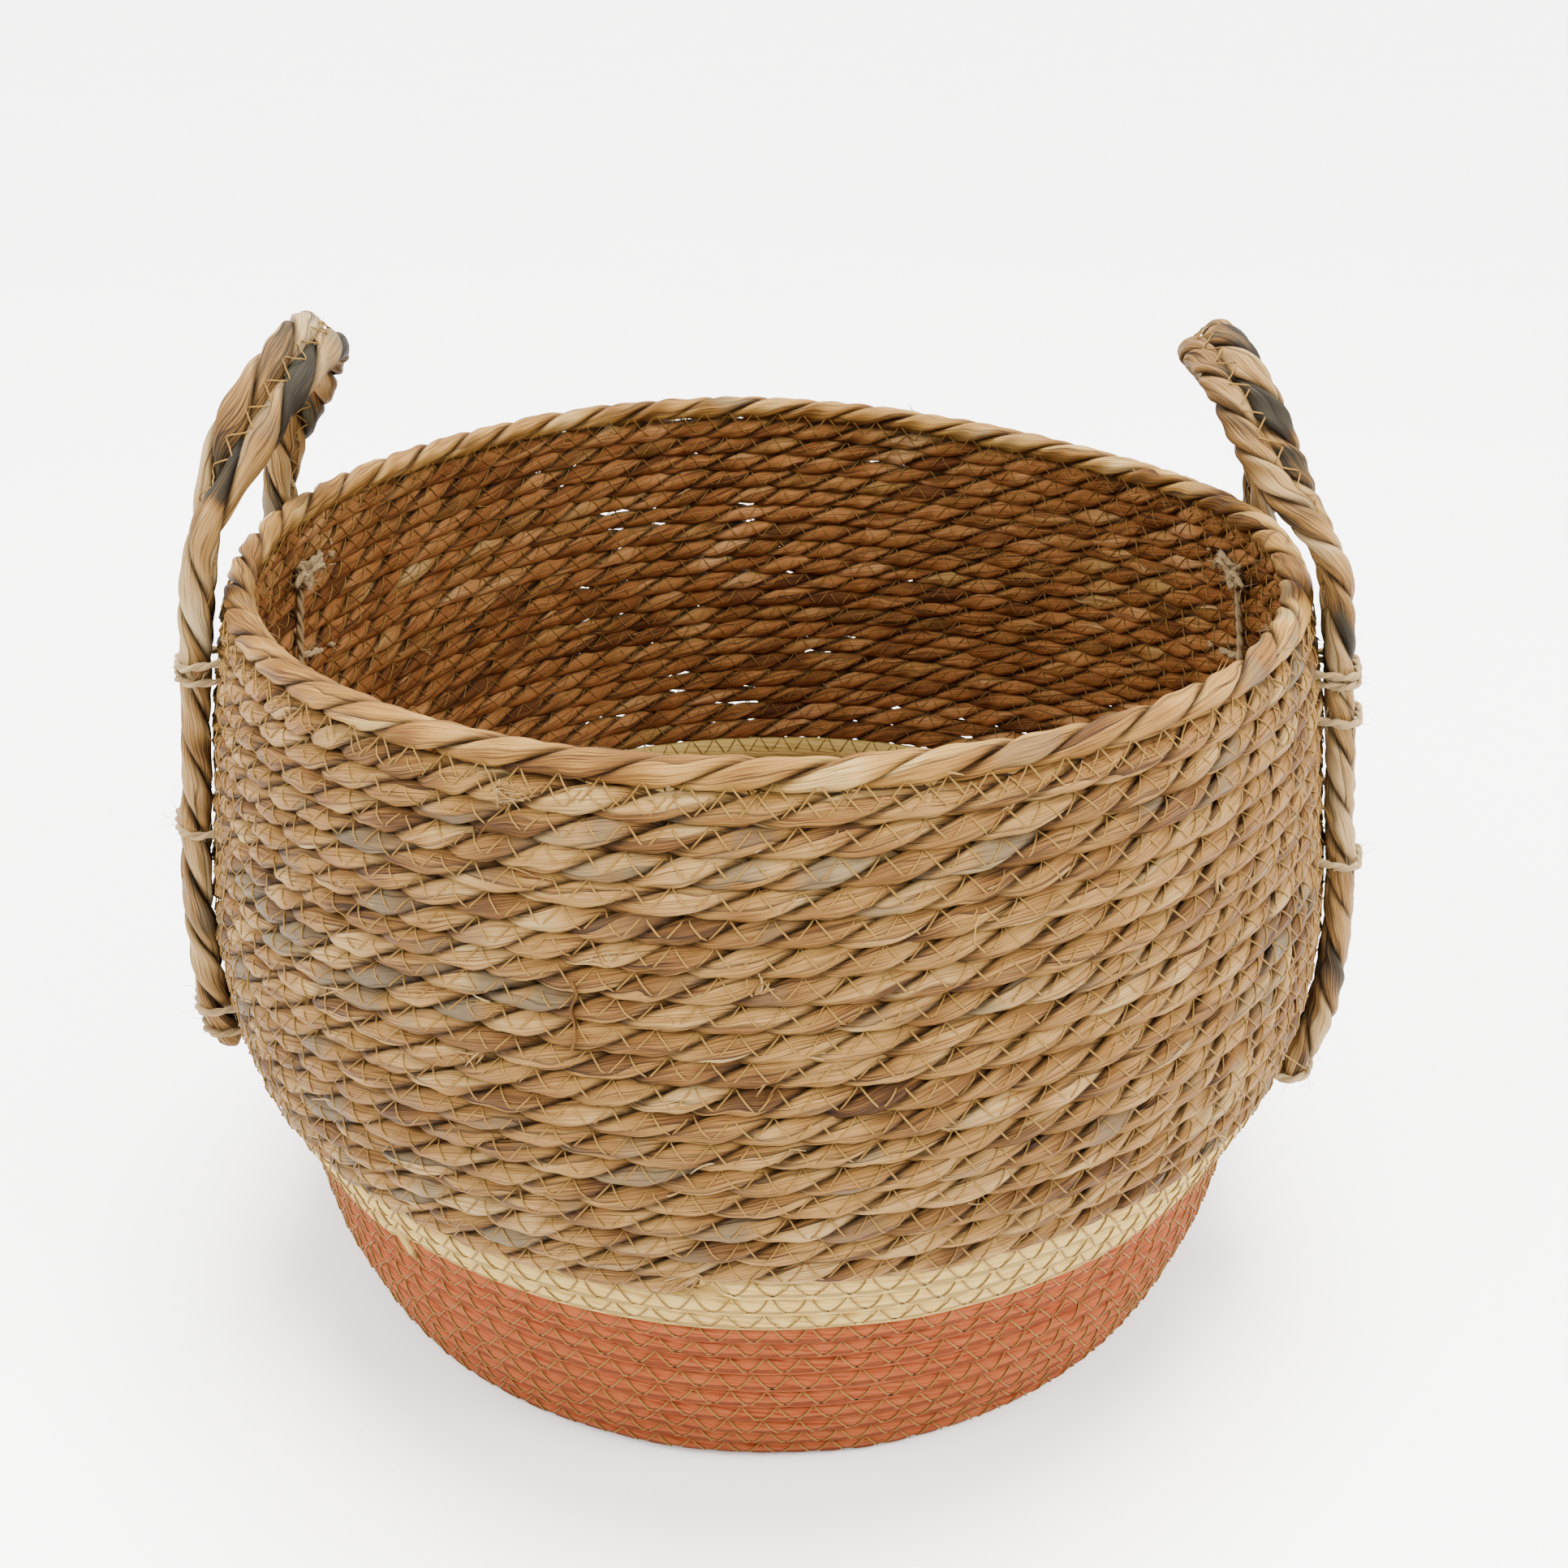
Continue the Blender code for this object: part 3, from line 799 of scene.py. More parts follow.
def paper_rope(tubes, first, last, rng, is_floor=False):
    """One paper rope of the coil, with a dimple and painted hole shade under each lower stitch point."""
    step = STITCH_PERIOD / PAPER_STEPS_PER_STITCH
    first, steps = (first, 0) if is_floor else in_step_with_stitches(first, step)
    turns, points, normals, distance = coil_stretch(first, last, step)
    up = unit(np.cross(tangents(points), normals))
    half_high = PAPER_ROW_FILL * pitch_at(turns) * (1 + 0.02 * drift(rng, distance, 0.03))
    half_thick = PAPER_ROPE / 2 * (1 + 0.03 * drift(rng, distance, 0.02))
    blunt = 0.75 if is_floor else 0.25
    to_end = distance[-1] - distance
    fade = smoothstep(distance / PAPER_END_TAPER + blunt) * smoothstep(to_end / PAPER_END_TAPER + 0.25)
    angle = PAPER_ANGLES[None, :]
    lean = distance[:, None] * 2 * math.pi / PAPER_TWIST
    shape = 1.0 + 0.0 * angle
    for waves, amount in ((2, 0.018), (3, 0.016), (5, 0.014)):
        shift = 0.8 * drift(rng, distance, 0.04)[:, None]
        strength = amount * (1 + 0.5 * drift(rng, distance, 0.02)[:, None])
        shape = shape + strength * np.sin(waves * angle + lean * 0.7 + shift)
    square = (np.abs(np.cos(angle)) ** PAPER_SQUARENESS
              + np.abs(np.sin(angle)) ** PAPER_SQUARENESS) ** (-1 / PAPER_SQUARENESS)
    y = half_high[:, None] * shape * square * np.sin(angle)
    x = half_thick[:, None] * shape * square * np.cos(angle)
    hole_shade = np.zeros(x.shape)
    if not is_floor:
        x = x - PAPER_SLANT * y
        low = (np.arange(len(turns)) + steps) % PAPER_STEPS_PER_STITCH == PAPER_STEPS_PER_STITCH // 2
        target = int(np.argmin(np.abs(wrap(PAPER_ANGLES - NEEDLE_HOLE_ANGLE))))
        # hole_shade: painted shade in the needle hole under each lower stitch point; the dent is real
        # geometry
        hole_shade[low, target] = rng.uniform(0.72, 1.0, low.sum())
        x[low, target] -= NEEDLE_HOLE_DEPTH
    rings = (points[:, None] + (x * fade[:, None])[..., None] * normals[:, None]
             + (y * fade[:, None])[..., None] * up[:, None])
    around = (angle - 0.25 * lean) * PAPER_ROPE / 2
    grain = np.stack(np.broadcast_arrays(distance[:, None], around, 1.0 + 0 * around), axis=-1)
    tone = 0.5 + 0.2 * drift(rng, distance, 0.05)[:, None]
    # painted shade along the row's top and bottom, where the rows meet
    crease_shade = smoothstep((np.abs(np.sin(angle)) - 0.72) / 0.28)
    look = np.stack(np.broadcast_arrays(tone, hole_shade, crease_shade), axis=-1)
    tubes.add(rings, grain, look)


def seagrass_rope(tubes, first, last, rng, phase):
    """One stretch of the wall's seagrass rope, thinner in places at the back, where gaps show."""
    turns, points, normals, distance = coil_stretch(first, last, SEAGRASS_STEP)
    share = (LAST_TURN - turns) / LAST_ROW_TAPER
    size = smoothstep(share * 0.9 + 0.12) * smoothstep((turns - CREAM_TURNS) / 0.01 + 0.35)
    up = unit(np.cross(tangents(points), normals))
    points = points + up * (0.00028 * drift(rng, distance, 0.028))[:, None]
    behind = np.exp(-((wrap(azimuth_at(turns) - LOOSE_AZIMUTH) / LOOSE_SPREAD) ** 4))
    loose = smoothstep((drift(rng, distance, 0.020) - 0.75) / 0.5)
    size = size * (1 - 0.20 * behind * loose)
    twisted_rope(tubes, points, normals, distance, rng, diameter=SEAGRASS_SPREADS_TO,
                 lay=SEAGRASS_LAY, size=size, flat=(0.92, 1.0), phase=phase,
                 bounce_tint=INNER_BOUNCE_TINT_STRENGTH)


def finish_piece(piece, body, nodes=()):
    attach(piece, body)
    if nodes:
        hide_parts(*nodes)
    return piece


def add_coil(rng):
    """Every rope of the coil. Returns their tubes, for the stitching to lie on."""
    made = []
    floor_end, wall_start = CORNER_TURN - FLOOR_ENDS_BEFORE_CORNER, CORNER_TURN - WALL_STARTS_BEFORE_CORNER
    for name, first, last, material, slot, node in (
            ("floor_coil_rope", FIRST_TURN, floor_end, CORAL, "coral_paper_rope", "floor_coil"),
            ("coral_wall_rope", wall_start, 0.0, CORAL, "coral_paper_rope", "coral_wall_coil"),
            ("cream_wall_rope", -0.004, CREAM_TURNS, CREAM, "cream_paper_rope", "cream_wall_coil")):
        tubes = Tubes()
        paper_rope(tubes, first, last, rng, is_floor=node == "floor_coil")
        finish_piece(tubes.make(name, material), "basket", [node])
        made.append(tubes)
    bounds = np.linspace(CREAM_TURNS, LAST_TURN, 4)
    turns, _, _, distance = coil_stretch(CREAM_TURNS, LAST_TURN, SEAGRASS_STEP)
    for label, first, last in zip(("lower", "middle", "upper"), bounds, bounds[1:]):
        tubes = Tubes()
        start = float(np.interp(first, turns, distance))
        seagrass_rope(tubes, first, last + (0.012 if label != "upper" else 0.0), rng,
                      -2 * math.pi * start / SEAGRASS_LAY)
        finish_piece(tubes.make(f"seagrass_wall_rope_{label}", SEAGRASS), "basket",
                     ["seagrass_wall_coil"])
        made.append(tubes)
    return made


def add_rim(rng):
    """The thicker rope on top of the wall, closed on itself. Returns its tubes."""
    count = int(2 * math.pi * RIM_CENTRE_RADIUS / RIM_STEP)
    azimuth = -np.arange(count) * 2 * math.pi / count
    normals = np.stack([np.cos(azimuth), np.sin(azimuth), 0 * azimuth], axis=1)
    points = settled(RIM_CENTRE_RADIUS * normals + np.array([0, 0, RIM_Z - RIM_SINKS]))
    distance = np.arange(count) * (2 * math.pi * RIM_CENTRE_RADIUS / count)
    tubes = Tubes()
    twisted_rope(tubes, points, normals, distance, rng, diameter=RIM_ROPE * 0.89, lay=RIM_LAY,
                 closed=True, angles=FINE_ANGLES, crease_depth=0.08, fullness=0.45, tone=(0.52, 0.08),
                 hue_spread=0.16, flat=(1.0, 0.93), wander=0.10)
    finish_piece(tubes.make("rim_rope_twist", RIM), "basket", ["rim_rope"])
    return tubes


# ---------------------------------------------------------------- stitching


def tree_of(group):
    """Every tube of the group as one surface that rays can hit."""
    points, polygons, start = [], [], 0
    for tubes in group:
        mine, faces = tubes.arrays()
        points.append(mine)
        for block in faces:
            polygons.extend(tuple(face) for face in (block + start).tolist())
        start += len(mine)
    return BVHTree.FromPolygons([tuple(p) for p in np.vstack(points).tolist()], polygons)


def lay_on(tree, points, normals, sign, reach=0.012):
    """Heights above points, along sign * normal, at which a thread lies on the surface in tree."""
    heights = np.full(len(points), np.nan)
    for i, (p, n) in enumerate(zip(points, normals)):
        direction = Vector(n) * sign
        hit = tree.ray_cast(Vector(p) + direction * reach, -direction, 2 * reach)
        if hit[0] is not None:
            heights[i] = reach - hit[3] + THREAD_LIFT
    return heights


def pulled(heights, dips, rounds):
    """A taut thread's heights: it bridges hollows, and goes down into its needle holes at dips."""
    known = np.isfinite(heights)
    h = np.interp(np.arange(len(heights)), np.flatnonzero(known), heights[known])
    free = ~dips
    for _ in range(rounds):
        bridged = (np.roll(h, 1) + np.roll(h, -1)) / 2
        h = np.where(free, np.maximum(h, bridged), h)
    h[dips] -= NEEDLE_HOLE_DEPTH
    return h


def lay_thread(tubes, tree, points, normals, sign, dips, sides, look, rounds=3):
    """A thread through points, laid on the surface in tree on the side that sign * normals faces."""
    heights = pulled(lay_on(tree, points, normals, sign), dips, rounds)
    path = points + (sign * heights)[:, None] * normals
    plain_tube(tubes, path, THREAD_RADIUS, sides, look, normal=normals * sign)


def lit_and_shaded_arms(wave, rising_tone, falling_tone):
    """The look of a zigzag whose rising arms are painted lighter, as if lit, and whose falling arms are
    painted darker, as if in shade.
    """
    tone = np.where(np.gradient(wave) > 0, rising_tone, falling_tone)[:, None, None]
    return np.concatenate([tone, 0 * tone, 0 * tone], axis=-1)


def zigzag_numbers(distance_end, period, per_period):
    """Evenly spaced distances, and the zigzag's height from -1 to 1 at each, for a row of stitches."""
    step = period / per_period
    count = int(distance_end / step)
    k = np.arange(count + 1)
    wave = 1 - 2 * np.abs((k % per_period) / (per_period / 2) - 1)
    return k * step, -wave, (k % (per_period // 2)) == 0


def add_stitches(tree, first, last, name, sign, sides, rng):
    """The zigzag thread on one side of the coil from turn first to turn last."""
    turns, _, _, distance = coil_stretch(first, last, STITCH_PERIOD / 2)
    along, wave, dips = zigzag_numbers(distance[-1], STITCH_PERIOD, STITCH_POINTS)
    wobble = 1 + 0.05 * drift(rng, distance, 0.02)
    turn = np.interp(along, distance, turns)
    stretch = np.interp(along, distance, wobble)
    middle = (STITCH_TOP + STITCH_BOTTOM) / 2
    half = (STITCH_TOP - STITCH_BOTTOM) / 2
    offset = (middle + half * wave * stretch) * pitch_at(turn)
    points, normals = profile.place(w_at(turn) + offset, azimuth_at(turn))
    tubes = Tubes()
    # painted light and shade: rising arms lighter, falling arms darker
    lay_thread(tubes, tree, points, normals, sign, dips, sides, lit_and_shaded_arms(wave, 0.62, 0.45))
    finish_piece(tubes.make(name, THREAD), "basket")


def add_rim_stitches(tree, sign, name, rng):
    """The zigzag that holds the rim rope to the last row, on one side of the wall."""
    count = int(round(2 * math.pi * RIM_CENTRE_RADIUS / STITCH_PERIOD))
    k = np.arange(count * STITCH_POINTS + 1)
    azimuth = -k * 2 * math.pi / (count * STITCH_POINTS)
    wave = 2 * np.abs((k % STITCH_POINTS) / (STITCH_POINTS / 2) - 1) - 1
    dips = (k % (STITCH_POINTS // 2)) == 0
    top, bottom = RIM_Z - RIM_SINKS - 0.10 * RIM_ROPE, WALL_TOP_Z - 0.42 * SEAGRASS_PITCH
    z = (top + bottom) / 2 + wave * (top - bottom) / 2
    z = z + 0.0004 * drift(rng, k * 0.001, 0.02) * (1 - np.abs(wave))
    out = np.stack([np.cos(azimuth), np.sin(azimuth), 0 * azimuth], axis=1)
    points = settled(out * (RIM_CENTRE_RADIUS - 0.0005) + np.array([0, 0, 1.0]) * z[:, None])
    tubes = Tubes()
    # painted light and shade: rising arms lighter, falling arms darker
    lay_thread(tubes, tree, points, out, sign, dips, 4, lit_and_shaded_arms(wave, 0.62, 0.38))
    finish_piece(tubes.make(name, THREAD), "basket")


# ---------------------------------------------------------------- handles


def leg_frame(handle, end, z):
    """Centre of a strap leg at height z, and the direction across the strap to the handle's middle."""
    side, bottom = SIDES[handle], LEG_BOTTOM[handle]
    up = (z - bottom) / (HINGE_Z - bottom)
    angle = math.radians(LEG_ANGLE_BOTTOM + (LEG_ANGLE_TOP - LEG_ANGLE_BOTTOM) * up)
    hang = float(smoothstep((BELLY_Z - z) / (BELLY_Z - bottom)))
    square = float(smoothstep((z - 0.85 * HEIGHT) / (HINGE_Z - 0.85 * HEIGHT)))
    follow = float(outline_radius(z)) + STRAP_ROPE / 2 + STRAP_CLEARANCE + LEG_STANDS_OFF[handle] * hang
    above = max(z - HEIGHT, 0.0) * math.tan(math.radians(LEG_LEAN_TOP))
    radius = follow + (HINGE_RADIUS - RIM_RADIUS - STRAP_ROPE / 2 - STRAP_CLEARANCE) * square - above
    centre = np.array([side * radius * math.cos(angle), end * radius * math.sin(angle), z])
    turn = angle * (1.0 - square)
    across = np.array([side * math.sin(turn), -end * math.cos(turn), 0.0])
    return centre, across


def loop_outline():
    """(y, h) points of the loop's centre line, evenly spaced, front to back."""
    power = 2.0 / LOOP_SQUARENESS
    angle = np.linspace(0, math.pi, 401)
    c, s = np.cos(angle), np.sin(angle)
    y = -HINGE_Y * np.copysign(np.abs(c) ** power, c)
    h = LOOP_HEIGHT * np.abs(s) ** power
    along = np.concatenate([[0], np.cumsum(np.hypot(np.diff(y), np.diff(h)))])
    wanted = np.linspace(0, along[-1], LOOP_POINTS)
    return np.interp(wanted, along, y), np.interp(wanted, along, h)


def loop_frames(handle):
    """Centre points of the leaning loop and the direction across the strap at each."""
    side = SIDES[handle]
    start, finish = (math.radians(lean) for lean in LOOP_LEAN[handle])
    bend = (finish - start) / LOOP_HEIGHT
    ys, hs = loop_outline()
    hinge = np.array(next(j["pos_m"] for j in frame["joints"] if j["child"] == f"{handle}_loop"))
    centres, acrosses = [], []
    last = len(ys) - 1
    for i, (y, h) in enumerate(zip(ys, hs)):
        low, high = max(i - 1, 0), min(i + 1, last)
        dy, dh = ys[high] - ys[low], hs[high] - hs[low]
        size = math.hypot(dy, dh)
        dy, dh = dy / size, dh / size
        if i in (0, last):
            dy, dh = 0.0, math.copysign(1.0, dh)
        lean = start + bend * h
        inward = (math.cos(start) - math.cos(lean)) / bend
        rise = (math.sin(lean) - math.sin(start)) / bend
        outward = np.array([side * math.cos(lean), 0.0, math.sin(lean)])
        upward = np.array([-side * math.sin(lean), 0.0, math.cos(lean)])
        away = np.array([0.0, -dh, 0.0]) + upward * dy
        from_leg = 1.0 - abs(2.0 * i / last - 1.0)
        roll = math.pi / 2 * float(smoothstep(from_leg / LOOP_ROLL_SHARE))
        lopsided = LOOP_TWIST[handle] * (y / HINGE_Y) * math.sin(math.pi * min(h / LOOP_HEIGHT, 1.0))
        centres.append(hinge + np.array([-side * (inward - lopsided), y, rise]))
        acrosses.append(outward * math.sin(roll) - away * math.cos(roll))
    return centres, acrosses


def strap_frames(handle):
    """The strap's centre line and across direction, from the front leg's foot over to the back leg's."""
    legs = {}
    for end in (-1, 1):
        heights = np.linspace(LEG_BOTTOM[handle], HINGE_Z - 0.006, LEG_POINTS)
        legs[end] = [leg_frame(handle, end, z) for z in heights]
    centres, acrosses = loop_frames(handle)
    front, back = legs[-1], legs[1][::-1]
    centre = [c for c, _ in front] + centres + [c for c, _ in back]
    across = [a for _, a in front] + acrosses + [a for _, a in back]
    rows, distance = through(np.hstack([np.array(centre), np.array(across)]), STRAP_STEP)
    near_hinge = np.exp(-(((rows[:, 2:3] - HINGE_Z) / HINGE_SOFTNESS) ** 2))
    for _ in range(STRAP_SMOOTHING):
        middle = rows.copy()
        middle[1:-1] = (rows[:-2] + rows[2:]) / 2
        rows = rows + (middle - rows) * near_hinge
    return rows[:, :3], unit(rows[:, 3:]), distance


def add_handle(handle, rng):
    """Two twisted ropes side by side, a row of stitches that joins them, and their ties."""
    centre, across, distance = strap_frames(handle)
    tangent = tangents(centre)
    across = unit(across - (across * tangent).sum(1, keepdims=True) * tangent)
    face = np.cross(across, tangent)
    to_end = distance[-1] - distance
    fade = smoothstep(distance / STRAP_END_TAPER + 0.3) * smoothstep(to_end / STRAP_END_TAPER + 0.3)
    group = []
    spacing = STRAP_SPACING * STRAP_NARROWS[handle]
    for number, shift in ((1, spacing / 2), (2, -spacing / 2)):
        tubes = Tubes()
        twisted_rope(tubes, centre + across * shift, face, distance, rng, diameter=STRAP_SPREADS_TO,
                     lay=STRAP_LAY[handle], angles=FINE_ANGLES, flat=(0.88, 1.0), size=fade,
                     crease_depth=0.08, fullness=0.46, tone=(0.56, 0.10), hue_spread=0.26,
                     phase=rng.uniform(0, 6), dark_share=DARK_LEAF[handle])
        piece = tubes.make(f"{handle}_handle_rope_{number}", STRAP)
        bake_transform(piece)
        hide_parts(f"{handle}_loop_rope_{number}", f"{handle}_front_leg_rope_{number}",
                    f"{handle}_back_leg_rope_{number}")
        group.append(tubes)
    tree = tree_of(group)
    tubes = Tubes()
    along, wave, dips = zigzag_numbers(distance[-1] - 0.01, STRAP_STITCH_PERIOD, STITCH_POINTS)
    along = along + 0.005
    rows = [np.stack([np.interp(along, distance, line[:, i]) for i in range(3)], axis=1)
            for line in (centre, across, face)]
    for sign in (-1, 1):
        points = rows[0] + rows[1] * (wave * STRAP_STITCH_HALF_WIDTH)[:, None]
        lay_thread(tubes, tree, points, unit(rows[2]), sign, dips, 4, (0.6, 0.0, 0.0), rounds=2)
    piece = tubes.make(f"{handle}_handle_stitching", THREAD)
    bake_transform(piece)
    for leg, end in (("front", -1), ("back", 1)):
        add_ties(handle, leg, end, rng)


# ---------------------------------------------------------------- jute ties


def twine(tubes, points, rng, hairs_per_metre=900.0, diameter=TWINE):
    """Two spun plies and their loose hairs along points."""
    path, distance = through(points, 0.0011)
    tangent = tangents(path)
    guide = unit(np.cross(tangent, np.array([0.3, 0.2, 1.0])))
    other = np.cross(tangent, guide)
    turn = -2 * math.pi * distance / 0.011 + rng.uniform(0, 6)
    for k in range(2):
        angle = turn + k * math.pi
        out = np.cos(angle)[:, None] * guide + np.sin(angle)[:, None] * other
        swell = 1 + 0.10 * drift(rng, distance, 0.004)
        look = (0.55 + 0.1 * rng.normal(), 0.5, 0.1)
        plain_tube(tubes, path + out * diameter * 0.21, diameter * 0.30 * swell, 6, look,
                   seed=rng.uniform(0, 20), normal=out)
    for _ in range(int(distance[-1] * hairs_per_metre)):
        i = rng.integers(0, len(path))
        turn = rng.uniform(0, 2 * math.pi)
        out = math.cos(turn) * guide[i] + math.sin(turn) * other[i]
        lean = unit(out * rng.uniform(0.5, 1.2) + tangent[i] * rng.normal(0, 0.8))
        length = rng.uniform(0.0012, 0.0045)
        curl = unit(rng.normal(size=3)) * length * 0.35
        base = path[i] + out * diameter * 0.40
        hair = [base, base + lean * length * 0.5 + curl * 0.3, base + lean * length + curl]
        plain_tube(tubes, hair, 0.00007, 3, (0.85, 0.5, 0.0), seed=float(i), normal=np.tile(out, (3, 1)))


def add_ties(handle, leg, end, rng):
    """The jute that goes round the leg at each tie, through the wall, and up the inside."""
    tubes = Tubes()
    reach = STRAP_ROPE / 2 + TWINE * 0.42
    heights = TIE_HEIGHTS[f"{handle}_{leg}"]
    for number, z in enumerate(heights):
        turns = (-0.0014, 0.0014) if number == 0 else (0.0,)
        for shift in turns:
            tilt = rng.uniform(-0.0022, 0.0022)
            centre, across = leg_frame(handle, end, z + shift)
            out = np.array([centre[0], centre[1], 0.0])
            out = unit(out - across * out.dot(across))
            inner_radius = float(outline_radius(z)) - SEAGRASS_ROPE - TWINE * 0.3
            depth = math.hypot(centre[0], centre[1]) - inner_radius
            half = STRAP_SPACING / 2
            path = []
            for sign, angles in ((-1, (180, 150, 120, 95)), (1, (85, 60, 30, 0))):
                block = []
                for degrees in angles:
                    a = math.radians(degrees)
                    block.append(centre + across * (sign * half + reach * 1.03 * math.cos(a))
                                 + out * (reach * 0.93 * math.sin(a)))
                foot = centre + across * (sign * (half + reach * 0.90))
                deep = [foot - out * depth * 0.55, foot - out * depth * 0.99]
                path += deep[::-1] + block if sign < 0 else block + deep
            slope = np.linspace(-tilt, tilt, len(path))
            path = [p + np.array([0, 0, rise]) for p, rise in zip(path, slope)]
            path.append(path[0] + (path[-1] - path[0]) * 0.5 - out * 0.0006)
            twine(tubes, path, rng)
    add_run(tubes, handle, end, rng)
    nodes = [f"{handle}_{leg}_tie_{number}" for number in (1, 2, 3, 4)] + [f"{handle}_{leg}_tie_run"]
    finish_piece(tubes.make(f"{handle}_{leg}_jute_tie", JUTE), "basket", nodes)


def add_run(tubes, handle, end, rng):
    """The twine's run on the inside of the wall, with its knot and two frayed ends."""
    angle = math.radians(RUN_ANGLE)
    direction = np.array([SIDES[handle] * math.cos(angle), end * math.sin(angle), 0.0])
    side = np.array([-direction[1], direction[0], 0.0])

    def inside(z, shift=0.0, lift=0.0):
        radius = float(outline_radius(z)) - SEAGRASS_ROPE - TWINE * 0.55 - lift
        return direction * radius + side * shift + np.array([0.0, 0.0, z])

    heights = np.linspace(RUN_TOP, RUN_BOTTOM, 7)
    path = [inside(z, 0.0006 * math.sin(7 * i)) for i, z in enumerate(heights)]
    path.insert(0, inside(RUN_TOP + 0.001, 0.0, -0.003))
    path.append(inside(RUN_BOTTOM - 0.001, 0.0, -0.003))
    twine(tubes, path, rng, 500.0)
    knot = []
    for i in range(17):
        a = i * 2 * math.pi / 8
        knot.append(inside(RUN_TOP - 0.004 + 0.0024 * math.cos(a), 0.0026 * math.sin(a),
                           0.0012 + 0.0011 * math.sin(a * 0.5 + 0.4)))
    twine(tubes, knot, rng, 1200.0)
    for way in (-1, 1):
        tail = [inside(RUN_TOP - 0.004, 0.001 * way, 0.001), inside(RUN_TOP - 0.001, 0.004 * way, 0.0025),
                inside(RUN_TOP + 0.001 * way, 0.008 * way, 0.0035),
                inside(RUN_TOP - 0.003, 0.0115 * way, 0.003)]
        twine(tubes, tail, rng, 2200.0, TWINE * 0.8)


# ---------------------------------------------------------------- loose ends


def on_wall(tree, azimuth, z, sign=1, lift=0.0):
    """A point on the wall's surface in tree, with the outward and rightward directions there."""
    out = np.array([math.cos(azimuth), math.sin(azimuth), 0.0])
    right = np.array([-out[1], out[0], 0.0])
    start = Vector(out * (0.25 if sign > 0 else 0.10) + np.array([0, 0, z]))
    hit = tree.ray_cast(start, Vector(-out * sign), 0.2)
    if hit[0] is None:
        return None
    return np.array(hit[0]) + out * lift * sign, out * sign, right


def fibre(tubes, base, way, out, length, radius, rng, tone, lift=0.25, widen=1.0):
    """One loose fibre that leaves base along way, bends off the wall and tapers."""
    bend = rng.normal(0, 0.25)
    side = np.cross(way, out)
    path = []
    for t in np.linspace(0, 1, 5):
        path.append(base + way * t * length + out * lift * length * t**1.5
                    + side * bend * length * t**2)
    taper = radius * np.array([1.0, 1.0, 0.85, 0.65, 0.3])
    plain_tube(tubes, path, taper, 4, (tone, 0.5, 0.0), seed=rng.uniform(0, 40),
               normal=np.tile(out, (5, 1)), widen=widen)


def tuft(tubes, tree, azimuth, z, length, count, rng, heading=0.0, fan=0.6, radius=0.00013, tone=0.75,
         sign=1, lift=0.35):
    """A fan of fibres. heading is the angle from the rightward direction up the wall."""
    spot = on_wall(tree, azimuth, z, sign, -0.0003)
    if spot is None:
        return
    base, out, right = spot
    for _ in range(count):
        a = heading + rng.normal(0, fan)
        way = right * math.cos(a) + np.array([0, 0, math.sin(a)])
        start = base + right * rng.normal(0, 0.0008) + np.array([0, 0, rng.normal(0, 0.0004)])
        fibre(tubes, start, way, out, length * rng.uniform(0.5, 1.1), radius * rng.uniform(0.7, 1.5), rng,
              tone + rng.normal(0, 0.15), lift * rng.uniform(0.3, 1.4), rng.uniform(1.0, 3.0))


def add_leaf_ends(tree, rng):
    """Frayed leaf all over the wall, and the few larger tufts that catch the eye."""
    tubes = Tubes()
    for _ in range(LEAF_FRAYS):
        azimuth, z = rng.uniform(-math.pi, math.pi), rng.uniform(0.102, 0.245)
        sign = 1 if rng.uniform() < 0.7 else -1
        heading = rng.choice((0.2, math.pi + 0.2)) + rng.normal(0, 0.25)
        tuft(tubes, tree, azimuth, z, rng.uniform(0.003, 0.009), rng.integers(1, 4), rng, heading, 0.25,
             0.00012, 0.7, sign, 0.22)
    for degrees, z, length, count, heading in TUFTS:
        tuft(tubes, tree, math.radians(degrees), z, length, count, rng, math.radians(heading), 0.5)
    for degrees, top, bottom, width in LEAF_STRIPS:
        path = []
        for i, z in enumerate(np.linspace(top, bottom, 6)):
            spot = on_wall(tree, math.radians(degrees), z, 1, 0.0007)
            path.append(spot[0] + spot[2] * 0.0008 * math.sin(2.1 * i) + spot[1] * 0.0006 * (i % 2))
        plain_tube(tubes, through(path, 0.0012)[0], LEAF_STRIP_THICKNESS / 2, 6, (0.30, 0.45, 0.2),
                   seed=3.0, widen=width / LEAF_STRIP_THICKNESS)
    finish_piece(tubes.make("loose_leaf_ends", SEAGRASS), "basket")


def add_cream_tail(rng):
    """The start of the cream rope, which stands off the wall and frays."""
    tubes = Tubes()
    point, normal = profile.place(float(w_at(0.0)), CREAM_START_AZIMUTH)
    back = np.array([-normal[1], normal[0], 0.0])
    path = [point - back * 0.003, point + back * 0.001 + normal * 0.0008,
            point + back * 0.005 + normal * 0.0022 - np.array([0, 0, 0.0007]),
            point + back * 0.0095 + normal * 0.0034 - np.array([0, 0, 0.0024])]
    path, along = through(path, 0.0010)
    radius = np.interp(along, (0, 0.004, along[-1]), (0.0028, 0.0024, 0.0011))
    plain_tube(tubes, path, radius, 10, (0.5, 0.0, 0.2), normal=np.tile(normal, (len(path), 1)), widen=1.35)
    for _ in range(9):
        fibre(tubes, path[-1], unit(back + rng.normal(0, 0.25, 3)), normal, rng.uniform(0.001, 0.003),
              0.00018, rng, 0.5)
    finish_piece(tubes.make("cream_rope_tail", CREAM), "basket")


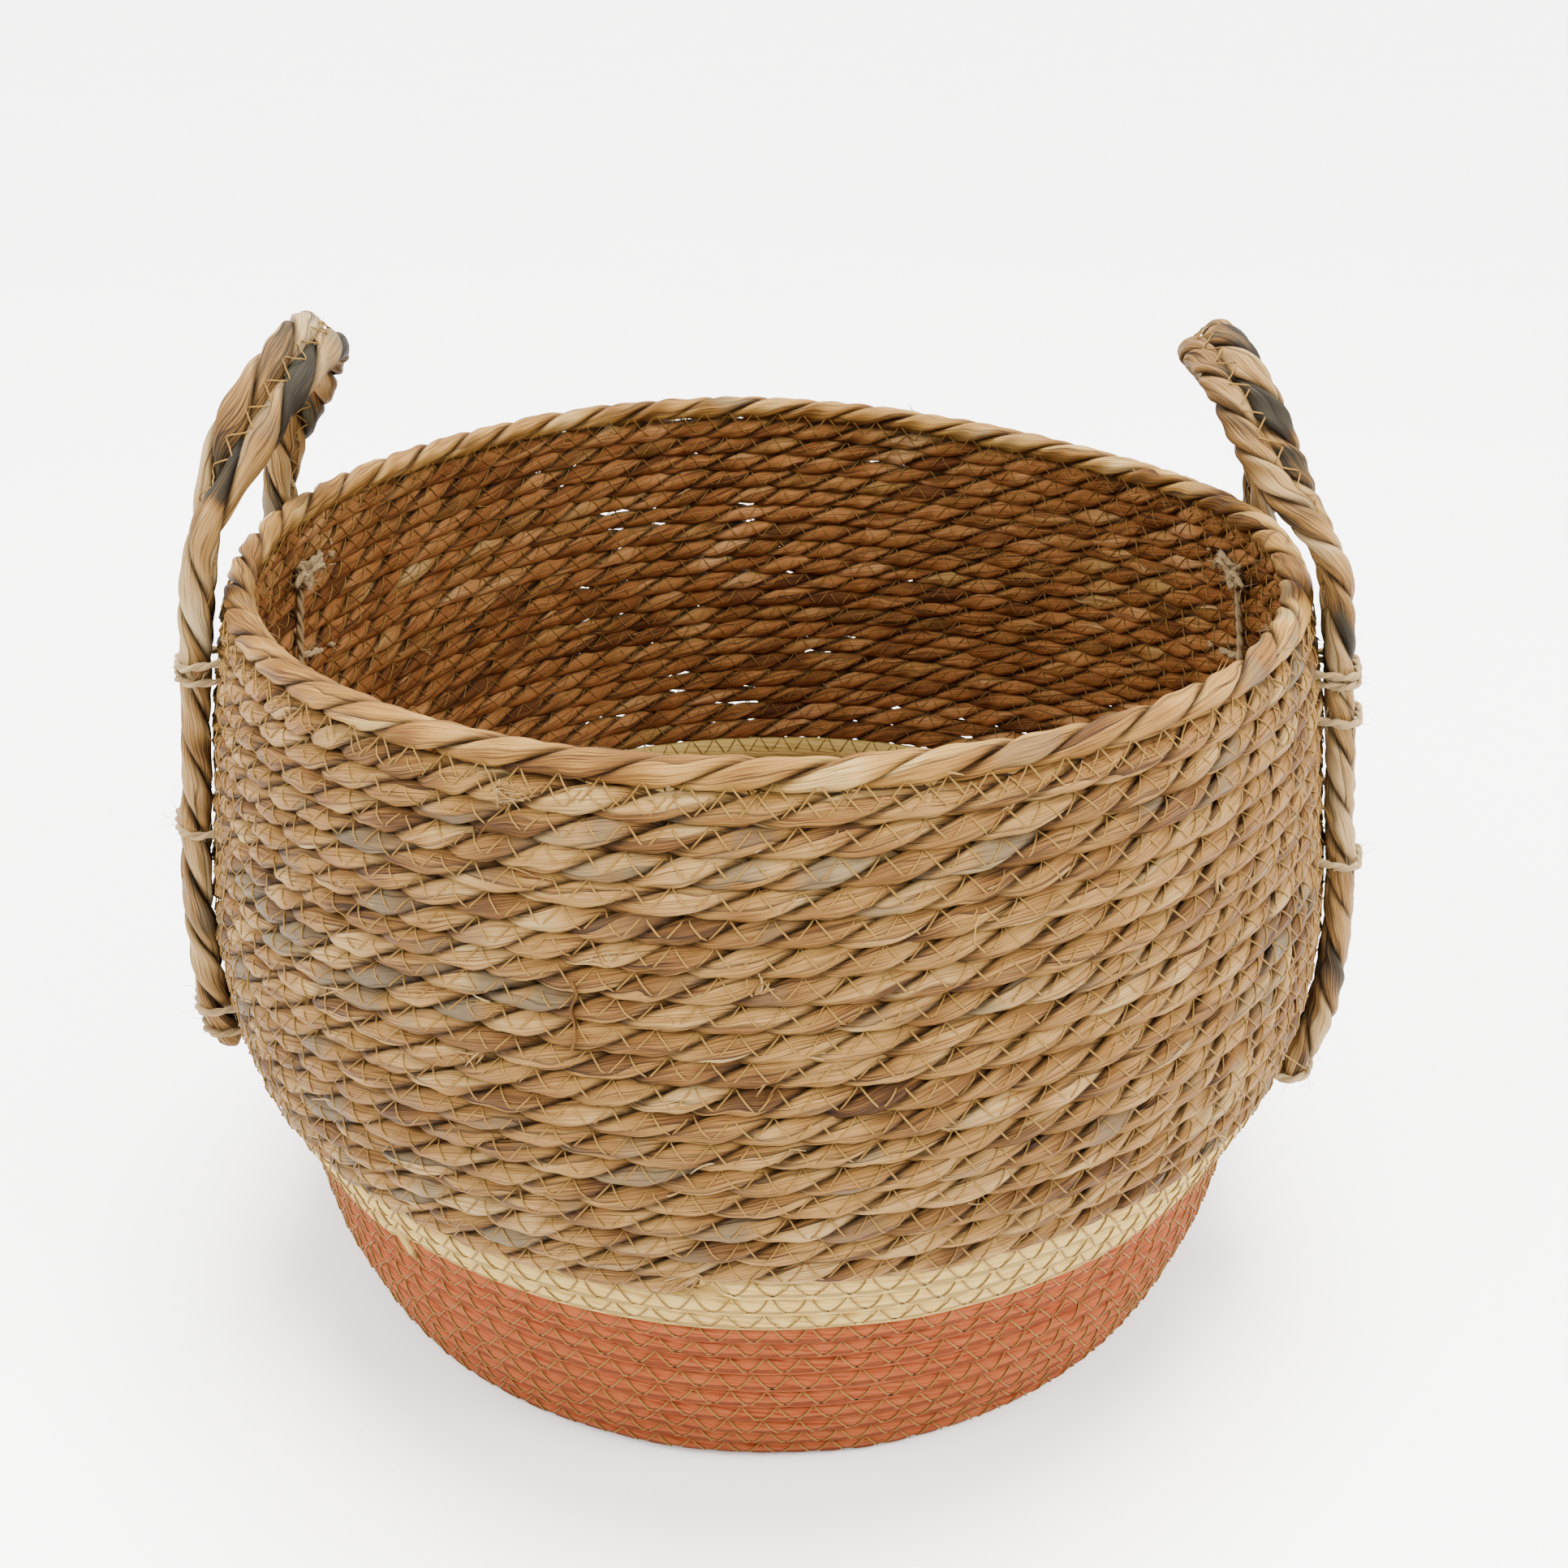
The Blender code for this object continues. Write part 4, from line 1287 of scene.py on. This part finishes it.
def add_thread_ends(tree, rng):
    """Thread ends: a row of short ones low on the wall, and a few long ones."""
    tubes = Tubes()
    for share in np.linspace(0, 1, 34):
        degrees = -41.0 - 7.0 * share
        tuft(tubes, tree, math.radians(degrees), 0.0235 + 0.0035 * share, 0.0035, 2, rng,
             math.radians(rng.uniform(0, 360)), 0.8, 0.00009, 0.6)
    for degrees, z, length in THREAD_ENDS:
        tuft(tubes, tree, math.radians(degrees), z, length, 1, rng, rng.uniform(-2.5, -0.6), 0.3,
             0.00018, 0.6, 1, 0.9)
    finish_piece(tubes.make("loose_thread_ends", THREAD), "basket")


# ---------------------------------------------------------------- stage


def add_floor():
    bpy.ops.mesh.primitive_plane_add(size=FLOOR_SIZE, location=(0.0, 0.0, 0.0))
    floor = bpy.context.object
    floor.name = "floor"
    n = Nodes("pale_floor")
    coordinate = n.node("ShaderNodeTexCoord").outputs["Object"]
    mottle = n.noise(coordinate, 3.0)
    n.shader.inputs["Roughness"].default_value = 0.6
    n.put(n.mix(mottle, srgb(240, 238, 238), srgb(246, 244, 244)), n.shader.inputs["Base Color"])
    floor.data.materials.append(n.material)


def add_sky():
    """White surroundings, a little brighter overhead than at the horizon."""
    world = bpy.data.worlds.new("studio")
    world.use_nodes = True
    tree = world.node_tree
    background = tree.nodes["Background"]
    direction = tree.nodes.new("ShaderNodeTexCoord")
    split = tree.nodes.new("ShaderNodeSeparateXYZ")
    tree.links.new(direction.outputs["Generated"], split.inputs[0])
    strength = tree.nodes.new("ShaderNodeMapRange")
    for socket, value in zip(list(strength.inputs)[1:5], (0.0, 0.8, SKY_LOW, SKY_HIGH)):
        socket.default_value = value
    tree.links.new(split.outputs["Z"], strength.inputs["Value"])
    tree.links.new(strength.outputs["Result"], background.inputs["Strength"])
    background.inputs["Color"].default_value = (1.0, 0.985, 0.97, 1.0)
    bpy.context.scene.world = world


def add_lights():
    """A wide soft source overhead, and two round lamps in front."""
    sun = bpy.data.lights.new("softbox", "SUN")
    sun.energy = SUN_STRENGTH
    sun.angle = SUN_ANGLE
    sun.color = (1.0, 0.99, 0.98)
    softbox = bpy.data.objects.new("softbox", sun)
    softbox.rotation_euler = SUN_TILT
    bpy.context.scene.collection.objects.link(softbox)
    for name, place, size, power, tint in LAMPS:
        light = bpy.data.lights.new(name, "AREA")
        light.shape = "DISK"
        light.size = size
        light.energy = power
        light.color = tint
        lamp = bpy.data.objects.new(name, light)
        lamp.location = place
        lamp.rotation_euler = (Vector((0, 0, 0.1)) - Vector(place)).to_track_quat("-Z", "Y").to_euler()
        bpy.context.scene.collection.objects.link(lamp)


def add_camera():
    data = bpy.data.cameras.new("camera")
    data.lens = CAMERA_LENS
    data.sensor_width = SENSOR
    data.clip_start = 0.01
    camera = bpy.data.objects.new("camera", data)
    camera.location = CAMERA_PLACE
    camera.rotation_euler = (math.radians(CAMERA_TILT), 0.0, 0.0)
    bpy.context.scene.collection.objects.link(camera)
    bpy.context.scene.camera = camera


def main():
    add_camera()
    add_floor()
    add_sky()
    add_lights()
    rng = np.random.default_rng(SEED)
    ropes = add_coil(rng)
    rim = add_rim(rng)
    wall = tree_of([*ropes[1:], rim])
    last_stitch = LAST_TURN - LAST_ROW_TAPER
    add_stitches(wall, FIRST_STITCH_TURN, last_stitch, "outer_stitching", 1, 4, rng)
    add_stitches(wall, FIRST_STITCH_TURN, last_stitch, "inner_stitching", -1, 3, rng)
    add_rim_stitches(wall, 1, "rim_outer_stitching", rng)
    add_rim_stitches(wall, -1, "rim_inner_stitching", rng)
    bottom = tree_of(ropes[:2])
    for name, sign in (("floor_upper_stitching", -1), ("floor_under_stitching", 1)):
        add_stitches(bottom, FIRST_TURN + 1.0, CORNER_TURN - 0.9, name, sign, 3, rng)
    add_leaf_ends(wall, rng)
    add_cream_tail(rng)
    add_thread_ends(wall, rng)
    for handle in SIDES:
        add_handle(handle, rng)


main()
